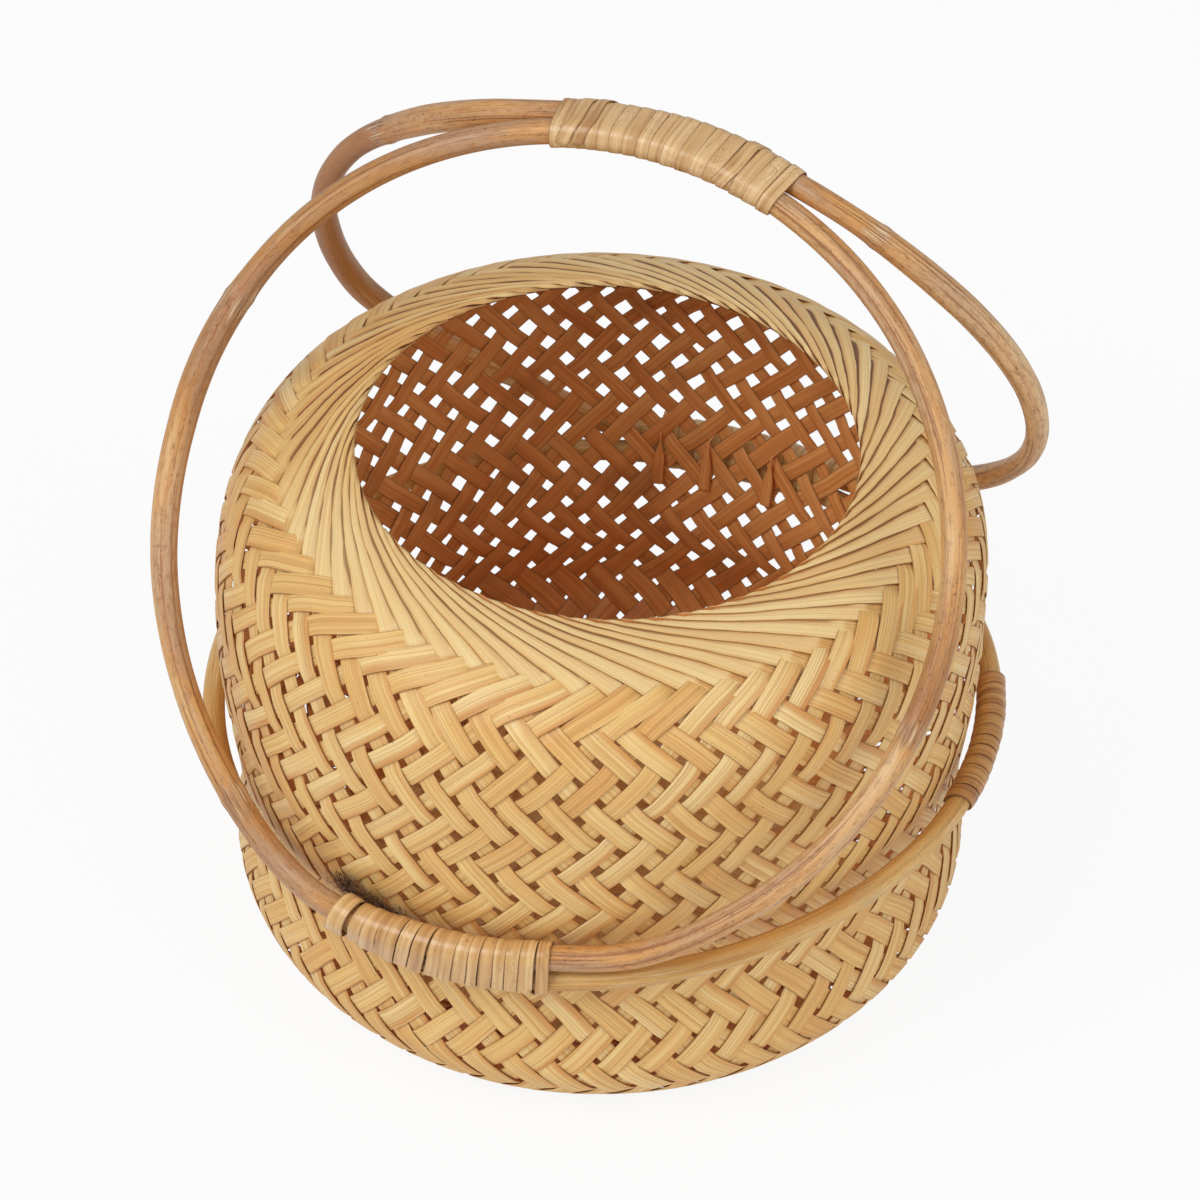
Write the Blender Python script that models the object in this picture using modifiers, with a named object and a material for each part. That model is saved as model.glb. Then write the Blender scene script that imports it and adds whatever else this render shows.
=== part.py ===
"""A round bamboo basket: a twill-woven body with a swept rim, carried by three tied rattan hoops.

The origin is the middle of the flat base, +Z is up and +X runs along the grip.
The front binding is on the -Y side and the rear binding on the +Y side.
"""
import math
from functools import lru_cache

import bmesh
import bpy
import numpy as np
from mathutils import Matrix, Vector

# Outside of the woven body
BASE_RADIUS = 0.112
LOWER_BULGE_RADIUS = 0.1455
LOWER_BULGE_HEIGHT = 0.036
WAIST_RADIUS = 0.1428
WAIST_HEIGHT = 0.064
BELLY_RADIUS = 0.150
BELLY_HEIGHT = 0.142
SEAM_RADIUS = 0.1285
SEAM_HEIGHT = 0.217
SEAM_SLOPE = math.radians(30)
MOUTH_RADIUS = 0.0965
RIM_HEIGHT = 0.2287
RIM_SLOPE = math.radians(12)
WALL_THICKNESS = 0.002
WALL_STEPS = (3, 2, 4, 5)

# Openwork of the wall: diamonds that step one facet sideways from row to row, as the twill does
OPENING_COLUMNS = 20
OPENING_FACET_ROWS = (3, 5, 7, 9, 11)
OPENING_WIDTH = 0.012
OPENING_TO_TIE = 0.001

# The rim leans a little to the right and sits off the middle, as the hand left it
RIM_TILT = math.radians(1.4)
RIM_SHIFT = 0.003

# Strips that sweep round the mouth and fold over its edge
STRIP_COUNT = 60
STRIP_STEP = 0.0007
FAN_STEPS = 5
SWEEP_AT_SEAM = math.radians(15.7)
SWEEP_AT_RIM = math.radians(26)

# Rattan poles and the space kept between pieces that touch
HANDLE_POLE_RADIUS = 0.0050
WAIST_POLE_RADIUS = 0.0044
HOOP_STEPS = 60
KNUCKLE_SWELL = 0.12
KNUCKLE_LENGTH = 0.004
SEAT_GAP = 0.0003
POLE_GAP = 0.0004

# Waist hoop: its mean height, its slope to the right and its saddle
WAIST_HOOP_HEIGHT = 0.0985
WAIST_HOOP_RISE = 0.0042
WAIST_HOOP_SADDLE = 0.0043

# Handle: the middle of the grip and the shape of the two hoops
GRIP_HEIGHT = 0.3335
GRIP_BACK = 0.051
GRIP_TO_LEFT = 0.0035
GRIP_PAIR_ANGLE = math.radians(48)
FRONT_HOOP_HALF_WIDTH = 0.1562
FRONT_HOOP_BOW = -0.0028
FRONT_HOOP_TWIST = -0.0039
FRONT_HOOP_SIDE_SHIFT = 0.0031
REAR_HOOP_HALF_WIDTH = 0.1497
REAR_HOOP_BOW = 0.0146
REAR_HOOP_TWIST = 0.0031
REAR_HOOP_SIDE_SHIFT = -0.0033

# How the handle poles lie on the waist hoop: angle round it, 0 outward and 90 degrees on top
FRONT_PAIR_ANGLE_LEFT = math.radians(-4)
FRONT_PAIR_ANGLE_RIGHT = math.radians(76)
REAR_PAIR_ANGLE = math.radians(60)

# Flat rattan strip of the bindings
BINDING_THICKNESS = 0.0010
BINDING_SEAT = 0.0008
BINDING_GAP = 0.0006
GRIP_BINDING_LEFT = -0.039
GRIP_BINDING_RIGHT = 0.053
GRIP_BINDING_TURNS = 15
FRONT_BINDING_HALF_ANGLE = math.radians(16.5)
FRONT_BINDING_TURNS = 11
REAR_BINDING_HALF_ANGLE = math.radians(14)
REAR_BINDING_TURNS = 7
LAP_BINDING_MIDDLE = math.radians(9.5)
LAP_BINDING_HALF_ANGLE = math.radians(13.5)
LAP_BINDING_TURNS = 9
POINTS_PER_TURN = 24

# Flat ties that pass through the wall and round both poles at the back
TIE_WIDTH = 0.005
TIE_THICKNESS = 0.0009
TIE_SEAT = 0.0007
TIE_ANGLES = (84, 94, 103)
TIE_POINTS = 16

# Dark fibre cord wedged between the front binding and the wall
CORD_RADIUS = 0.0014
CORD_FROM = math.radians(-111)
CORD_TO = math.radians(-98)
CORD_POINTS = 10

FRONT = math.radians(-90)
REAR = math.radians(90)
UP = Vector((0, 0, 1))


def clear_scene():
    for old in list(bpy.data.objects):
        bpy.data.objects.remove(old, do_unlink=True)


def make_collection(name):
    collection = bpy.data.collections.new(name)
    bpy.context.scene.collection.children.link(collection)
    return collection


def make_material(name, colour, roughness):
    material = bpy.data.materials.new(name)
    material.use_nodes = True
    shader = material.node_tree.nodes["Principled BSDF"]
    shader.inputs["Base Color"].default_value = (*colour, 1)
    shader.inputs["Roughness"].default_value = roughness
    shader.inputs["Metallic"].default_value = 0
    return material


def smooth_step(low, high, value):
    t = min(max((value - low) / (high - low), 0), 1)
    return t * t * (3 - 2 * t)


# Outline of the body


def arc_between(start, end, steps, reach=0.36):
    """Points of a cubic curve between two stations of (radius, height, heading)."""
    (r0, z0, a0), (r3, z3, a3) = start, end
    length = math.hypot(r3 - r0, z3 - z0) * reach
    r1, z1 = r0 + length * math.cos(a0), z0 + length * math.sin(a0)
    r2, z2 = r3 - length * math.cos(a3), z3 - length * math.sin(a3)
    points = []
    for i in range(steps + 1):
        t = i / steps
        a, b, c, d = (1 - t) ** 3, 3 * t * (1 - t) ** 2, 3 * t * t * (1 - t), t ** 3
        points.append((a * r0 + b * r1 + c * r2 + d * r3, a * z0 + b * z1 + c * z2 + d * z3))
    return points


def wall_outline(steps):
    """The outside of the wall, from the edge of the flat base up to the seam of the fan."""
    upright = math.radians(90)
    stations = [
        (BASE_RADIUS, 0, 0),
        (LOWER_BULGE_RADIUS, LOWER_BULGE_HEIGHT, upright),
        (WAIST_RADIUS, WAIST_HEIGHT, upright),
        (BELLY_RADIUS, BELLY_HEIGHT, upright),
        (SEAM_RADIUS, SEAM_HEIGHT, math.pi - SEAM_SLOPE),
    ]
    points = [stations[0][:2]]
    for start, end, count in zip(stations, stations[1:], steps):
        points += arc_between(start, end, count)[1:]
    return points


def fan_outline(steps):
    """The outside of the fan, from the seam up and in to the edge of the mouth."""
    start = (SEAM_RADIUS, SEAM_HEIGHT, math.pi - SEAM_SLOPE)
    end = (MOUTH_RADIUS, RIM_HEIGHT, math.pi - RIM_SLOPE)
    return arc_between(start, end, steps)


def offset_outline(points, distance, first, last):
    """The outline moved inward. first and last are its headings at the two ends."""
    headings = [math.atan2(c[1] - a[1], c[0] - a[0]) for a, c in zip(points, points[2:])]
    moved = []
    for (r, z), heading in zip(points, [first] + headings + [last]):
        moved.append((r - math.sin(heading) * distance, z + math.cos(heading) * distance))
    return moved


WALL_CURVE = np.array(wall_outline((12, 10, 16, 20)))


def wall_radius(height):
    return float(np.interp(height, WALL_CURVE[:, 1], WALL_CURVE[:, 0]))


def lean(point):
    """The lean and shift that grow from the belly up to the rim."""
    weight = smooth_step(BELLY_HEIGHT, RIM_HEIGHT, point.z)
    drop = math.tan(RIM_TILT) * point.x
    return Vector((point.x + RIM_SHIFT * weight, point.y, point.z - drop * weight))


# Meshes


def new_object(name, mesh, collection, material):
    piece = bpy.data.objects.new(name, mesh)
    collection.objects.link(piece)
    mesh.materials.clear()
    mesh.materials.append(material)
    mesh.shade_smooth()
    mesh.set_sharp_from_angle(angle=math.radians(40))
    return piece


def turned_mesh(name, section, steps):
    """Turn a section round Z. It starts and ends on the axis and runs top to bottom outside."""
    outline = bpy.data.meshes.new(name + "_section")
    edges = [(i, i + 1) for i in range(len(section) - 1)]
    outline.from_pydata([(r, 0, z) for r, z in section], edges, [])
    guide = bpy.data.objects.new(name + "_section", outline)
    bpy.context.scene.collection.objects.link(guide)
    screw = guide.modifiers.new("Turn", 'SCREW')
    screw.steps = steps
    screw.render_steps = steps
    screw.use_merge_vertices = True
    screw.merge_threshold = 0.00005
    depsgraph = bpy.context.evaluated_depsgraph_get()
    mesh = bpy.data.meshes.new_from_object(guide.evaluated_get(depsgraph))
    bpy.data.objects.remove(guide, do_unlink=True)
    return mesh


def loft_mesh(name, rings, ring_loop):
    """Skin a row of closed rings: end to end as a loop, or with flat caps."""
    bm = bmesh.new()
    rows = [[bm.verts.new(point) for point in ring] for ring in rings]
    count = len(rows[0])
    pairs = list(zip(rows, rows[1:]))
    if ring_loop:
        pairs.append((rows[-1], rows[0]))
    for low, high in pairs:
        for i in range(count):
            j = (i + 1) % count
            bm.faces.new((low[i], low[j], high[j], high[i]))
    if not ring_loop:
        bm.faces.new(rows[0])
        bm.faces.new(rows[-1])
    bmesh.ops.recalc_face_normals(bm, faces=bm.faces)
    mesh = bpy.data.meshes.new(name)
    bm.to_mesh(mesh)
    bm.free()
    return mesh


def cut_out(piece, name, mesh, cutters):
    """Take a cutter's mesh out of a piece."""
    cutter = bpy.data.objects.new(name, mesh)
    cutters.objects.link(cutter)
    cutter.hide_render = True
    cutter.display_type = 'WIRE'
    cut = piece.modifiers.new(name, 'BOOLEAN')
    cut.operation = 'DIFFERENCE'
    cut.solver = 'EXACT'
    cut.object = cutter


# Woven body


def make_wall(collection, material):
    outside = wall_outline(WALL_STEPS)
    inside = offset_outline(outside, WALL_THICKNESS, 0, math.pi - SEAM_SLOPE)
    floor = (0, WALL_THICKNESS)
    section = [floor] + inside + outside[::-1] + [(0, 0)]
    mesh = turned_mesh("woven_wall", section, STRIP_COUNT)
    for vertex in mesh.vertices:
        vertex.co = lean(vertex.co)
    return new_object("woven_wall", mesh, collection, material)


def opening_places():
    """The middle of each opening and the way out through it, clear of where the ties pass."""
    outside = wall_outline(WALL_STEPS)
    slots = [place for degrees in TIE_ANGLES for place in slot_places(math.radians(degrees))]
    places = []
    for row in OPENING_FACET_ROWS:
        (r0, z0), (r1, z1) = outside[row], outside[row + 1]
        slope = math.atan2(r0 - r1, z1 - z0)
        for column in range(OPENING_COLUMNS):
            angle = 2 * math.pi * (column / OPENING_COLUMNS + (row + 0.5) / STRIP_COUNT)
            outward = Vector((math.cos(angle), math.sin(angle), 0))
            middle = outward * ((r0 + r1) / 2) + UP * ((z0 + z1) / 2)
            normal = outward * math.cos(slope) + UP * math.sin(slope)
            room = (OPENING_WIDTH + TIE_WIDTH) / 2 + OPENING_TO_TIE
            if min((middle - slot).length for slot in slots) > room:
                places.append((middle, normal))
    return places


def cut_openwork(wall, cutters):
    """Cut a square prism, one corner up, through the wall at each opening."""
    bm = bmesh.new()
    for middle, normal in opening_places():
        across = UP.cross(normal).normalized()
        turn = Matrix((across, normal.cross(across), normal)).transposed().to_4x4()
        bmesh.ops.create_cone(bm, cap_ends=True, segments=4, radius1=OPENING_WIDTH / 2,
                              radius2=OPENING_WIDTH / 2, depth=6 * WALL_THICKNESS,
                              matrix=Matrix.Translation(middle) @ turn)
    for vertex in bm.verts:
        vertex.co = lean(vertex.co)
    mesh = bpy.data.meshes.new("openwork")
    bm.to_mesh(mesh)
    bm.free()
    cut_out(wall, "Openwork", mesh, cutters)


def fan_ring(radius, height, slope, share, relief):
    """One ring of the fan: each strip has a raised edge and slopes down under the next one."""
    turn = -(SWEEP_AT_SEAM * share + SWEEP_AT_RIM * share ** 3)
    ring = []
    for strip in range(STRIP_COUNT):
        for place, rise in ((0.0, 1.0), (0.9, 0.0)):
            angle = 2 * math.pi * (strip + place) / STRIP_COUNT + turn
            lift = rise * relief
            r = radius + lift * math.sin(slope)
            z = height + lift * math.cos(slope)
            ring.append(lean(Vector((r * math.cos(angle), r * math.sin(angle), z))))
    return ring


def make_fan(collection, material):
    """The swept strips round the mouth, with their folded edge."""
    outside = fan_outline(FAN_STEPS)
    inside = offset_outline(outside, WALL_THICKNESS, math.pi - SEAM_SLOPE, math.pi - RIM_SLOPE)
    gap = SEAT_GAP / math.hypot(outside[1][0] - outside[0][0], outside[1][1] - outside[0][1])
    rings = []
    for i, (r, z) in enumerate(outside):
        share = i / (len(outside) - 1)
        if i == 0:
            r += (outside[1][0] - r) * gap
            z += (outside[1][1] - z) * gap
        slope = SEAM_SLOPE + (RIM_SLOPE - SEAM_SLOPE) * share
        fade = smooth_step(-0.02, 0.12, share)
        rings.append(fan_ring(r, z, slope, share, STRIP_STEP * fade))
    edge_r = (outside[-1][0] + inside[-1][0]) / 2 - WALL_THICKNESS * 0.4
    edge_z = (outside[-1][1] + inside[-1][1]) / 2
    rings.append(fan_ring(edge_r, edge_z, RIM_SLOPE, 1, 0))
    for i in (FAN_STEPS, FAN_STEPS // 2, 0):
        r, z = inside[i]
        if i == 0:
            r += (inside[1][0] - r) * gap
            z += (inside[1][1] - z) * gap
        rings.append(fan_ring(r, z, SEAM_SLOPE, i / FAN_STEPS, 0))
    mesh = loft_mesh("rim_fan", rings, True)
    return new_object("rim_fan", mesh, collection, material)


# Hoops


def bound_pole_radius(height, pole_radius):
    """How far from the axis a pole with its binding lies when it is close to the wall."""
    widest = max(wall_radius(height + step * pole_radius) for step in (-0.7, 0, 0.7))
    return widest + SEAT_GAP + BINDING_THICKNESS + BINDING_SEAT + pole_radius


def waist_hoop_point(angle):
    """The middle of the waist hoop, which lies close to the wall all the way round."""
    height = WAIST_HOOP_HEIGHT + WAIST_HOOP_RISE * math.cos(angle)
    height += WAIST_HOOP_SADDLE * math.cos(2 * angle)
    radius = bound_pole_radius(height, WAIST_POLE_RADIUS)
    return Vector((radius * math.cos(angle), radius * math.sin(angle), height))


def beside_waist_hoop(angle, pair_angle, distance):
    """A point beside the waist hoop, at an angle round it from straight out, clear of the wall."""
    outward = Vector((math.cos(angle), math.sin(angle), 0))
    away = outward * math.cos(pair_angle) + UP * math.sin(pair_angle)
    point = waist_hoop_point(angle) + away * distance
    lack = bound_pole_radius(point.z, HANDLE_POLE_RADIUS) - point.dot(outward)
    return point + outward * max(lack, 0)


def push_clear(point, distance):
    """Move a handle pole out to its distance from the waist hoop where it passes close."""
    angle = math.atan2(point.y, point.x)
    away = point - waist_hoop_point(angle)
    if away.length >= distance:
        return point
    return point + away.normalized() * (distance - away.length)


def hoop_point(theta, bottom, top, half_width, bow, twist, side_shift):
    """An oval between its lowest and highest points, bowed and twisted out of its plane."""
    middle = (bottom + top) / 2
    rise = top - bottom
    half_height = rise.length / 2
    rise.normalize()
    across = Vector((1, 0, 0)) - rise * rise.x
    across.normalize()
    out = across.cross(rise)
    cosine, sine = math.cos(theta), math.sin(theta)
    width = half_width * cosine + side_shift * cosine ** 2
    lift = bow * cosine ** 2 + twist * math.sin(2 * theta)
    return middle + across * width + rise * (half_height * sine) + out * lift


def pair_distance():
    return HANDLE_POLE_RADIUS + WAIST_POLE_RADIUS + POLE_GAP


def front_pair_angle(angle):
    share = smooth_step(FRONT - FRONT_BINDING_HALF_ANGLE, FRONT + FRONT_BINDING_HALF_ANGLE, angle)
    return FRONT_PAIR_ANGLE_LEFT + (FRONT_PAIR_ANGLE_RIGHT - FRONT_PAIR_ANGLE_LEFT) * share


def front_hoop_point(theta):
    bottom = beside_waist_hoop(FRONT, front_pair_angle(FRONT), pair_distance())
    top = Vector((-GRIP_TO_LEFT, GRIP_BACK, GRIP_HEIGHT))
    point = hoop_point(theta, bottom, top, FRONT_HOOP_HALF_WIDTH, FRONT_HOOP_BOW,
                       FRONT_HOOP_TWIST, FRONT_HOOP_SIDE_SHIFT)
    angle = math.atan2(point.y, point.x)
    if math.sin(theta) < 0:
        reach = abs(angle - FRONT) / FRONT_BINDING_HALF_ANGLE
        weight = 1 - smooth_step(1.0, 2.4, reach)
        seat = beside_waist_hoop(angle, front_pair_angle(angle), pair_distance())
        point = point.lerp(seat, weight)
    return push_clear(point, pair_distance())


@lru_cache
def upper_front_hoop():
    points = [front_hoop_point(math.radians(a)) for a in range(160, 19, -2)]
    return np.array(points)


def front_hoop_at_x(x):
    """The upper part of the front hoop at a given place along the grip."""
    xs, ys, zs = upper_front_hoop().T
    return Vector((x, float(np.interp(x, xs, ys)), float(np.interp(x, xs, zs))))


def beside_front_hoop(x):
    """A point beside the front hoop at x, up and behind it, for the second pole of the grip."""
    tangent = (front_hoop_at_x(x + 0.002) - front_hoop_at_x(x - 0.002)).normalized()
    away = Vector((0, math.cos(GRIP_PAIR_ANGLE), math.sin(GRIP_PAIR_ANGLE)))
    slant = math.sqrt(1 - away.dot(tangent) ** 2)
    return front_hoop_at_x(x) + away * ((2 * HANDLE_POLE_RADIUS + POLE_GAP) / slant)


def rear_hoop_point(theta):
    bottom = beside_waist_hoop(REAR, REAR_PAIR_ANGLE, pair_distance())
    top = beside_front_hoop(-GRIP_TO_LEFT)
    point = hoop_point(theta, bottom, top, REAR_HOOP_HALF_WIDTH, REAR_HOOP_BOW,
                       REAR_HOOP_TWIST, REAR_HOOP_SIDE_SHIFT)
    angle = math.atan2(point.y, point.x)
    if math.sin(theta) < 0:
        weight = 1 - smooth_step(1.0, 2.6, abs(angle - REAR) / REAR_BINDING_HALF_ANGLE)
        seat = beside_waist_hoop(angle, REAR_PAIR_ANGLE, pair_distance())
        point = point.lerp(seat, weight)
    else:
        middle = (GRIP_BINDING_LEFT + GRIP_BINDING_RIGHT) / 2
        half = (GRIP_BINDING_RIGHT - GRIP_BINDING_LEFT) / 2
        weight = 1 - smooth_step(1.0, 2.7, abs(point.x - middle) / half)
        point = point.lerp(beside_front_hoop(point.x), weight)
    return push_clear(point, pair_distance())


def hoop_tube(name, point_at, radius, knuckles, collection, material):
    """A closed rattan pole that follows point_at, with a knuckle at each angle in degrees."""
    angles = {i * 360 / HOOP_STEPS for i in range(HOOP_STEPS)}
    close = math.degrees(KNUCKLE_LENGTH / BELLY_RADIUS)
    for knuckle in knuckles:
        angles = {a for a in angles if abs(a - knuckle) > 2 * close}
        angles |= {knuckle - 1.2 * close, knuckle - 0.4 * close, knuckle + 0.4 * close, knuckle + 1.2 * close}
    angles = sorted(angles)
    curve = bpy.data.curves.new(name, 'CURVE')
    curve.dimensions = '3D'
    curve.bevel_depth = radius
    curve.bevel_resolution = 2
    curve.use_fill_caps = True
    spline = curve.splines.new('POLY')
    spline.points.add(len(angles) - 1)
    for point, angle in zip(spline.points, angles):
        near = min((abs(angle - k) for k in knuckles), default=360)
        point.co = (*point_at(math.radians(angle)), 1)
        point.radius = 1 + KNUCKLE_SWELL * math.exp(-(near / close) ** 2)
    spline.use_cyclic_u = True
    piece = bpy.data.objects.new(name, curve)
    collection.objects.link(piece)
    curve.materials.append(material)
    return piece


# Bindings


def round_the_pair(turn, spread, radius_a, radius_b, clear):
    """A point of a band round two circles at +-spread/2, and the way out from it."""
    angle = 2 * math.pi * turn
    out = Vector((math.cos(angle), math.sin(angle)))
    radius = (radius_a if out.x > 0 else radius_b) + clear
    centre = spread / 2 if out.x > 0 else -spread / 2
    slack = smooth_step(0, 0.35, abs(out.x))
    return Vector((centre * slack + out.x * radius, out.y * radius)), out


def ribbon_rings(path_a, path_b, radius_a, radius_b, turns, width, clear):
    """Square-cut sections of a flat strip wound round two poles that lie side by side."""
    steps = turns * POINTS_PER_TURN
    rings = []
    for i in range(steps + 1):
        share = i / steps
        a, b = path_a(share), path_b(share)
        middle = (a + b) / 2
        ahead = (path_a(share + 0.01) + path_b(share + 0.01)) / 2
        behind = (path_a(share - 0.01) + path_b(share - 0.01)) / 2
        along = (ahead - behind).normalized()
        pair = (a - b) - along * (a - b).dot(along)
        spread = pair.length
        side = pair.normalized() if spread > 0 else UP.cross(along).normalized()
        third = along.cross(side)
        flat, out = round_the_pair(turns * share, spread, radius_a, radius_b, clear)
        centre = middle + side * flat.x + third * flat.y
        normal = side * out.x + third * out.y
        half_width, half_thickness = along * (width / 2), normal * (BINDING_THICKNESS / 2)
        rings.append([
            centre - half_width - half_thickness,
            centre + half_width - half_thickness,
            centre + half_width + half_thickness,
            centre - half_width + half_thickness,
        ])
    return rings


def least_gap(rings):
    """The least space between neighbouring turns, measured on the strip's own corners."""
    best = math.inf
    for ring, following in zip(rings, rings[POINTS_PER_TURN:]):
        for near in ring[1:3]:
            for far in (following[0], following[3]):
                best = min(best, (near - far).length)
    return best


def make_binding(name, path_a, path_b, radius_a, radius_b, turns, collection, material):
    clear = BINDING_SEAT + BINDING_THICKNESS / 2
    pitch = least_gap(ribbon_rings(path_a, path_b, radius_a, radius_b, turns, 0, clear))
    rings = ribbon_rings(path_a, path_b, radius_a, radius_b, turns, pitch - BINDING_GAP, clear)
    print(name, "least gap between turns: %.2f mm" % (1000 * least_gap(rings)))
    return new_object(name, loft_mesh(name, rings, False), collection, material)


def hoop_by_angle(point_at, low, high):
    """The lower part of a handle hoop as a function of the angle round the basket."""
    points = [point_at(math.radians(a)) for a in np.arange(low, high, 1.0)]
    angles = [math.atan2(p.y, p.x) for p in points]

    def at(angle):
        return Vector([float(np.interp(angle, angles, [p[k] for p in points])) for k in range(3)])

    return at


def make_bindings(collection, material):
    front_at = hoop_by_angle(front_hoop_point, -140, -39)
    rear_lower = hoop_by_angle(lambda t: rear_hoop_point(-t - math.pi), -140, -39)

    def grip_x(share):
        return GRIP_BINDING_LEFT + (GRIP_BINDING_RIGHT - GRIP_BINDING_LEFT) * share

    def front_angle(share):
        return FRONT + FRONT_BINDING_HALF_ANGLE * (2 * share - 1)

    def rear_angle(share):
        return REAR + REAR_BINDING_HALF_ANGLE * (2 * share - 1)

    def lap(share):
        return waist_hoop_point(LAP_BINDING_MIDDLE + LAP_BINDING_HALF_ANGLE * (2 * share - 1))

    make_binding("grip_binding",
                 lambda share: beside_front_hoop(grip_x(share)),
                 lambda share: front_hoop_at_x(grip_x(share)),
                 HANDLE_POLE_RADIUS, HANDLE_POLE_RADIUS, GRIP_BINDING_TURNS, collection, material)
    make_binding("front_binding",
                 lambda share: front_at(front_angle(share)),
                 lambda share: waist_hoop_point(front_angle(share)),
                 HANDLE_POLE_RADIUS, WAIST_POLE_RADIUS, FRONT_BINDING_TURNS, collection, material)
    make_binding("rear_binding",
                 lambda share: rear_lower(rear_angle(share)),
                 lambda share: waist_hoop_point(rear_angle(share)),
                 HANDLE_POLE_RADIUS, WAIST_POLE_RADIUS, REAR_BINDING_TURNS, collection, material)
    make_binding("lap_binding", lap, lap, WAIST_POLE_RADIUS, WAIST_POLE_RADIUS,
                 LAP_BINDING_TURNS, collection, material)


# Ties through the wall


def tie_circles(angle):
    """What the tie goes round in its upright plane, as (distance, height, radius)."""
    outward = Vector((math.cos(angle), math.sin(angle), 0))
    lower = waist_hoop_point(angle)
    upper = beside_waist_hoop(angle, REAR_PAIR_ANGLE, pair_distance())
    cover = BINDING_SEAT + BINDING_THICKNESS + TIE_SEAT + TIE_THICKNESS / 2
    round_lower = WAIST_POLE_RADIUS + cover
    round_upper = HANDLE_POLE_RADIUS + cover
    return [(lower.dot(outward), lower.z, round_lower), (upper.dot(outward), upper.z, round_upper)]


def slot_places(angle):
    """Where a tie passes through the wall, above and below the poles."""
    (_, low, round_lower), (_, high, round_upper) = tie_circles(angle)
    outward = Vector((math.cos(angle), math.sin(angle), 0))
    heights = (low - round_lower, high + round_upper)
    return [outward * wall_radius(height) + UP * height for height in heights]


def tie_path(angle):
    """The rubber-band outline round both poles, their binding and the wall, in one upright plane."""
    outward = Vector((math.cos(angle), math.sin(angle), 0))
    circles = tie_circles(angle)
    corner = TIE_WIDTH / 4
    inside_gap = TIE_SEAT + TIE_THICKNESS / 2
    (_, low, round_lower), (_, high, round_upper) = circles
    for height in (high + round_upper - corner, low - round_lower + corner):
        circles.append((wall_radius(height) - WALL_THICKNESS - inside_gap + corner, height, corner))
    path = []
    for i in range(TIE_POINTS):
        turn = 2 * math.pi * i / TIE_POINTS
        out = (math.cos(turn), math.sin(turn))
        r, z, size = max(circles, key=lambda c: c[0] * out[0] + c[1] * out[1] + c[2])
        centre = outward * (r + size * out[0]) + UP * (z + size * out[1])
        path.append((centre, outward * out[0] + UP * out[1]))
    return path


def tie_mesh(name, angle, extra):
    """A closed flat band along the tie's path, made larger by extra for its slots."""
    across = Vector((-math.sin(angle), math.cos(angle), 0)) * (TIE_WIDTH / 2 + extra)
    rings = []
    for centre, out in tie_path(angle):
        half = out * (TIE_THICKNESS / 2 + extra)
        rings.append([centre - across - half, centre + across - half, centre + across + half, centre - across + half])
    return loft_mesh(name, rings, True)


def make_ties(collection, cutters, wall, material):
    for number, degrees in enumerate(TIE_ANGLES, 1):
        angle = math.radians(degrees)
        new_object("rear_tie_%d" % number, tie_mesh("rear_tie", angle, 0), collection, material)
        cut_out(wall, "Slot %d" % number, tie_mesh("slot", angle, SEAT_GAP), cutters)


def make_fibre_cord(collection, material):
    """A cord that lies in the corner above the waist hoop, against the wall."""
    curve = bpy.data.curves.new("fibre_cord", 'CURVE')
    curve.dimensions = '3D'
    curve.bevel_depth = CORD_RADIUS
    curve.bevel_resolution = 2
    curve.use_fill_caps = True
    spline = curve.splines.new('POLY')
    spline.points.add(CORD_POINTS - 1)
    reach = WAIST_POLE_RADIUS + BINDING_SEAT + BINDING_THICKNESS + SEAT_GAP + CORD_RADIUS
    for i, point in enumerate(spline.points):
        angle = CORD_FROM + (CORD_TO - CORD_FROM) * i / (CORD_POINTS - 1)
        hoop = waist_hoop_point(angle)
        radius = wall_radius(hoop.z + reach) + SEAT_GAP + CORD_RADIUS
        inward = math.hypot(hoop.x, hoop.y) - radius
        height = hoop.z + math.sqrt(max(reach ** 2 - inward ** 2, 0)) + SEAT_GAP
        point.co = (radius * math.cos(angle), radius * math.sin(angle), height, 1)
    piece = bpy.data.objects.new("fibre_cord", curve)
    collection.objects.link(piece)
    curve.materials.append(material)
    return piece


def main():
    clear_scene()
    parts = make_collection("bamboo_basket")
    straw = make_material("bamboo_strip", (0.76, 0.55, 0.27), 0.55)
    rattan = make_material("rattan_pole", (0.52, 0.30, 0.13), 0.45)
    cane = make_material("split_cane", (0.62, 0.42, 0.21), 0.5)
    fibre = make_material("dark_fibre", (0.09, 0.05, 0.03), 0.9)
    cutters = make_collection("cutters")
    wall = make_wall(parts, straw)
    cut_openwork(wall, cutters)
    make_fan(parts, straw)
    hoop_tube("waist_hoop", waist_hoop_point, WAIST_POLE_RADIUS, (150, 332), parts, rattan)
    hoop_tube("front_hoop", front_hoop_point, HANDLE_POLE_RADIUS, (156, 231, 348.5), parts, rattan)
    hoop_tube("rear_hoop", rear_hoop_point, HANDLE_POLE_RADIUS, (51, 138.5, 230), parts, rattan)
    make_bindings(parts, cane)
    make_ties(parts, cutters, wall, cane)
    make_fibre_cord(parts, fibre)


main()
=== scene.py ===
"""Looks of the bamboo basket: every woven strip, the swept rim, the rattan hoops and their bindings.

Lengths are in metres. Along the body, depth is the distance down the wall from the seam, where the
strips start to sweep round the mouth; it is negative on the fan between the seam and the rim.
Two values in brackets are the ends of a range: between() mixes them and smooth_step() climbs from
the first to the second. Where they differ by the side of the basket, the front comes first.
"""

import random
from functools import lru_cache, partial
from math import atan2, cos, hypot, pi, radians, sin, sqrt, tan

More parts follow.
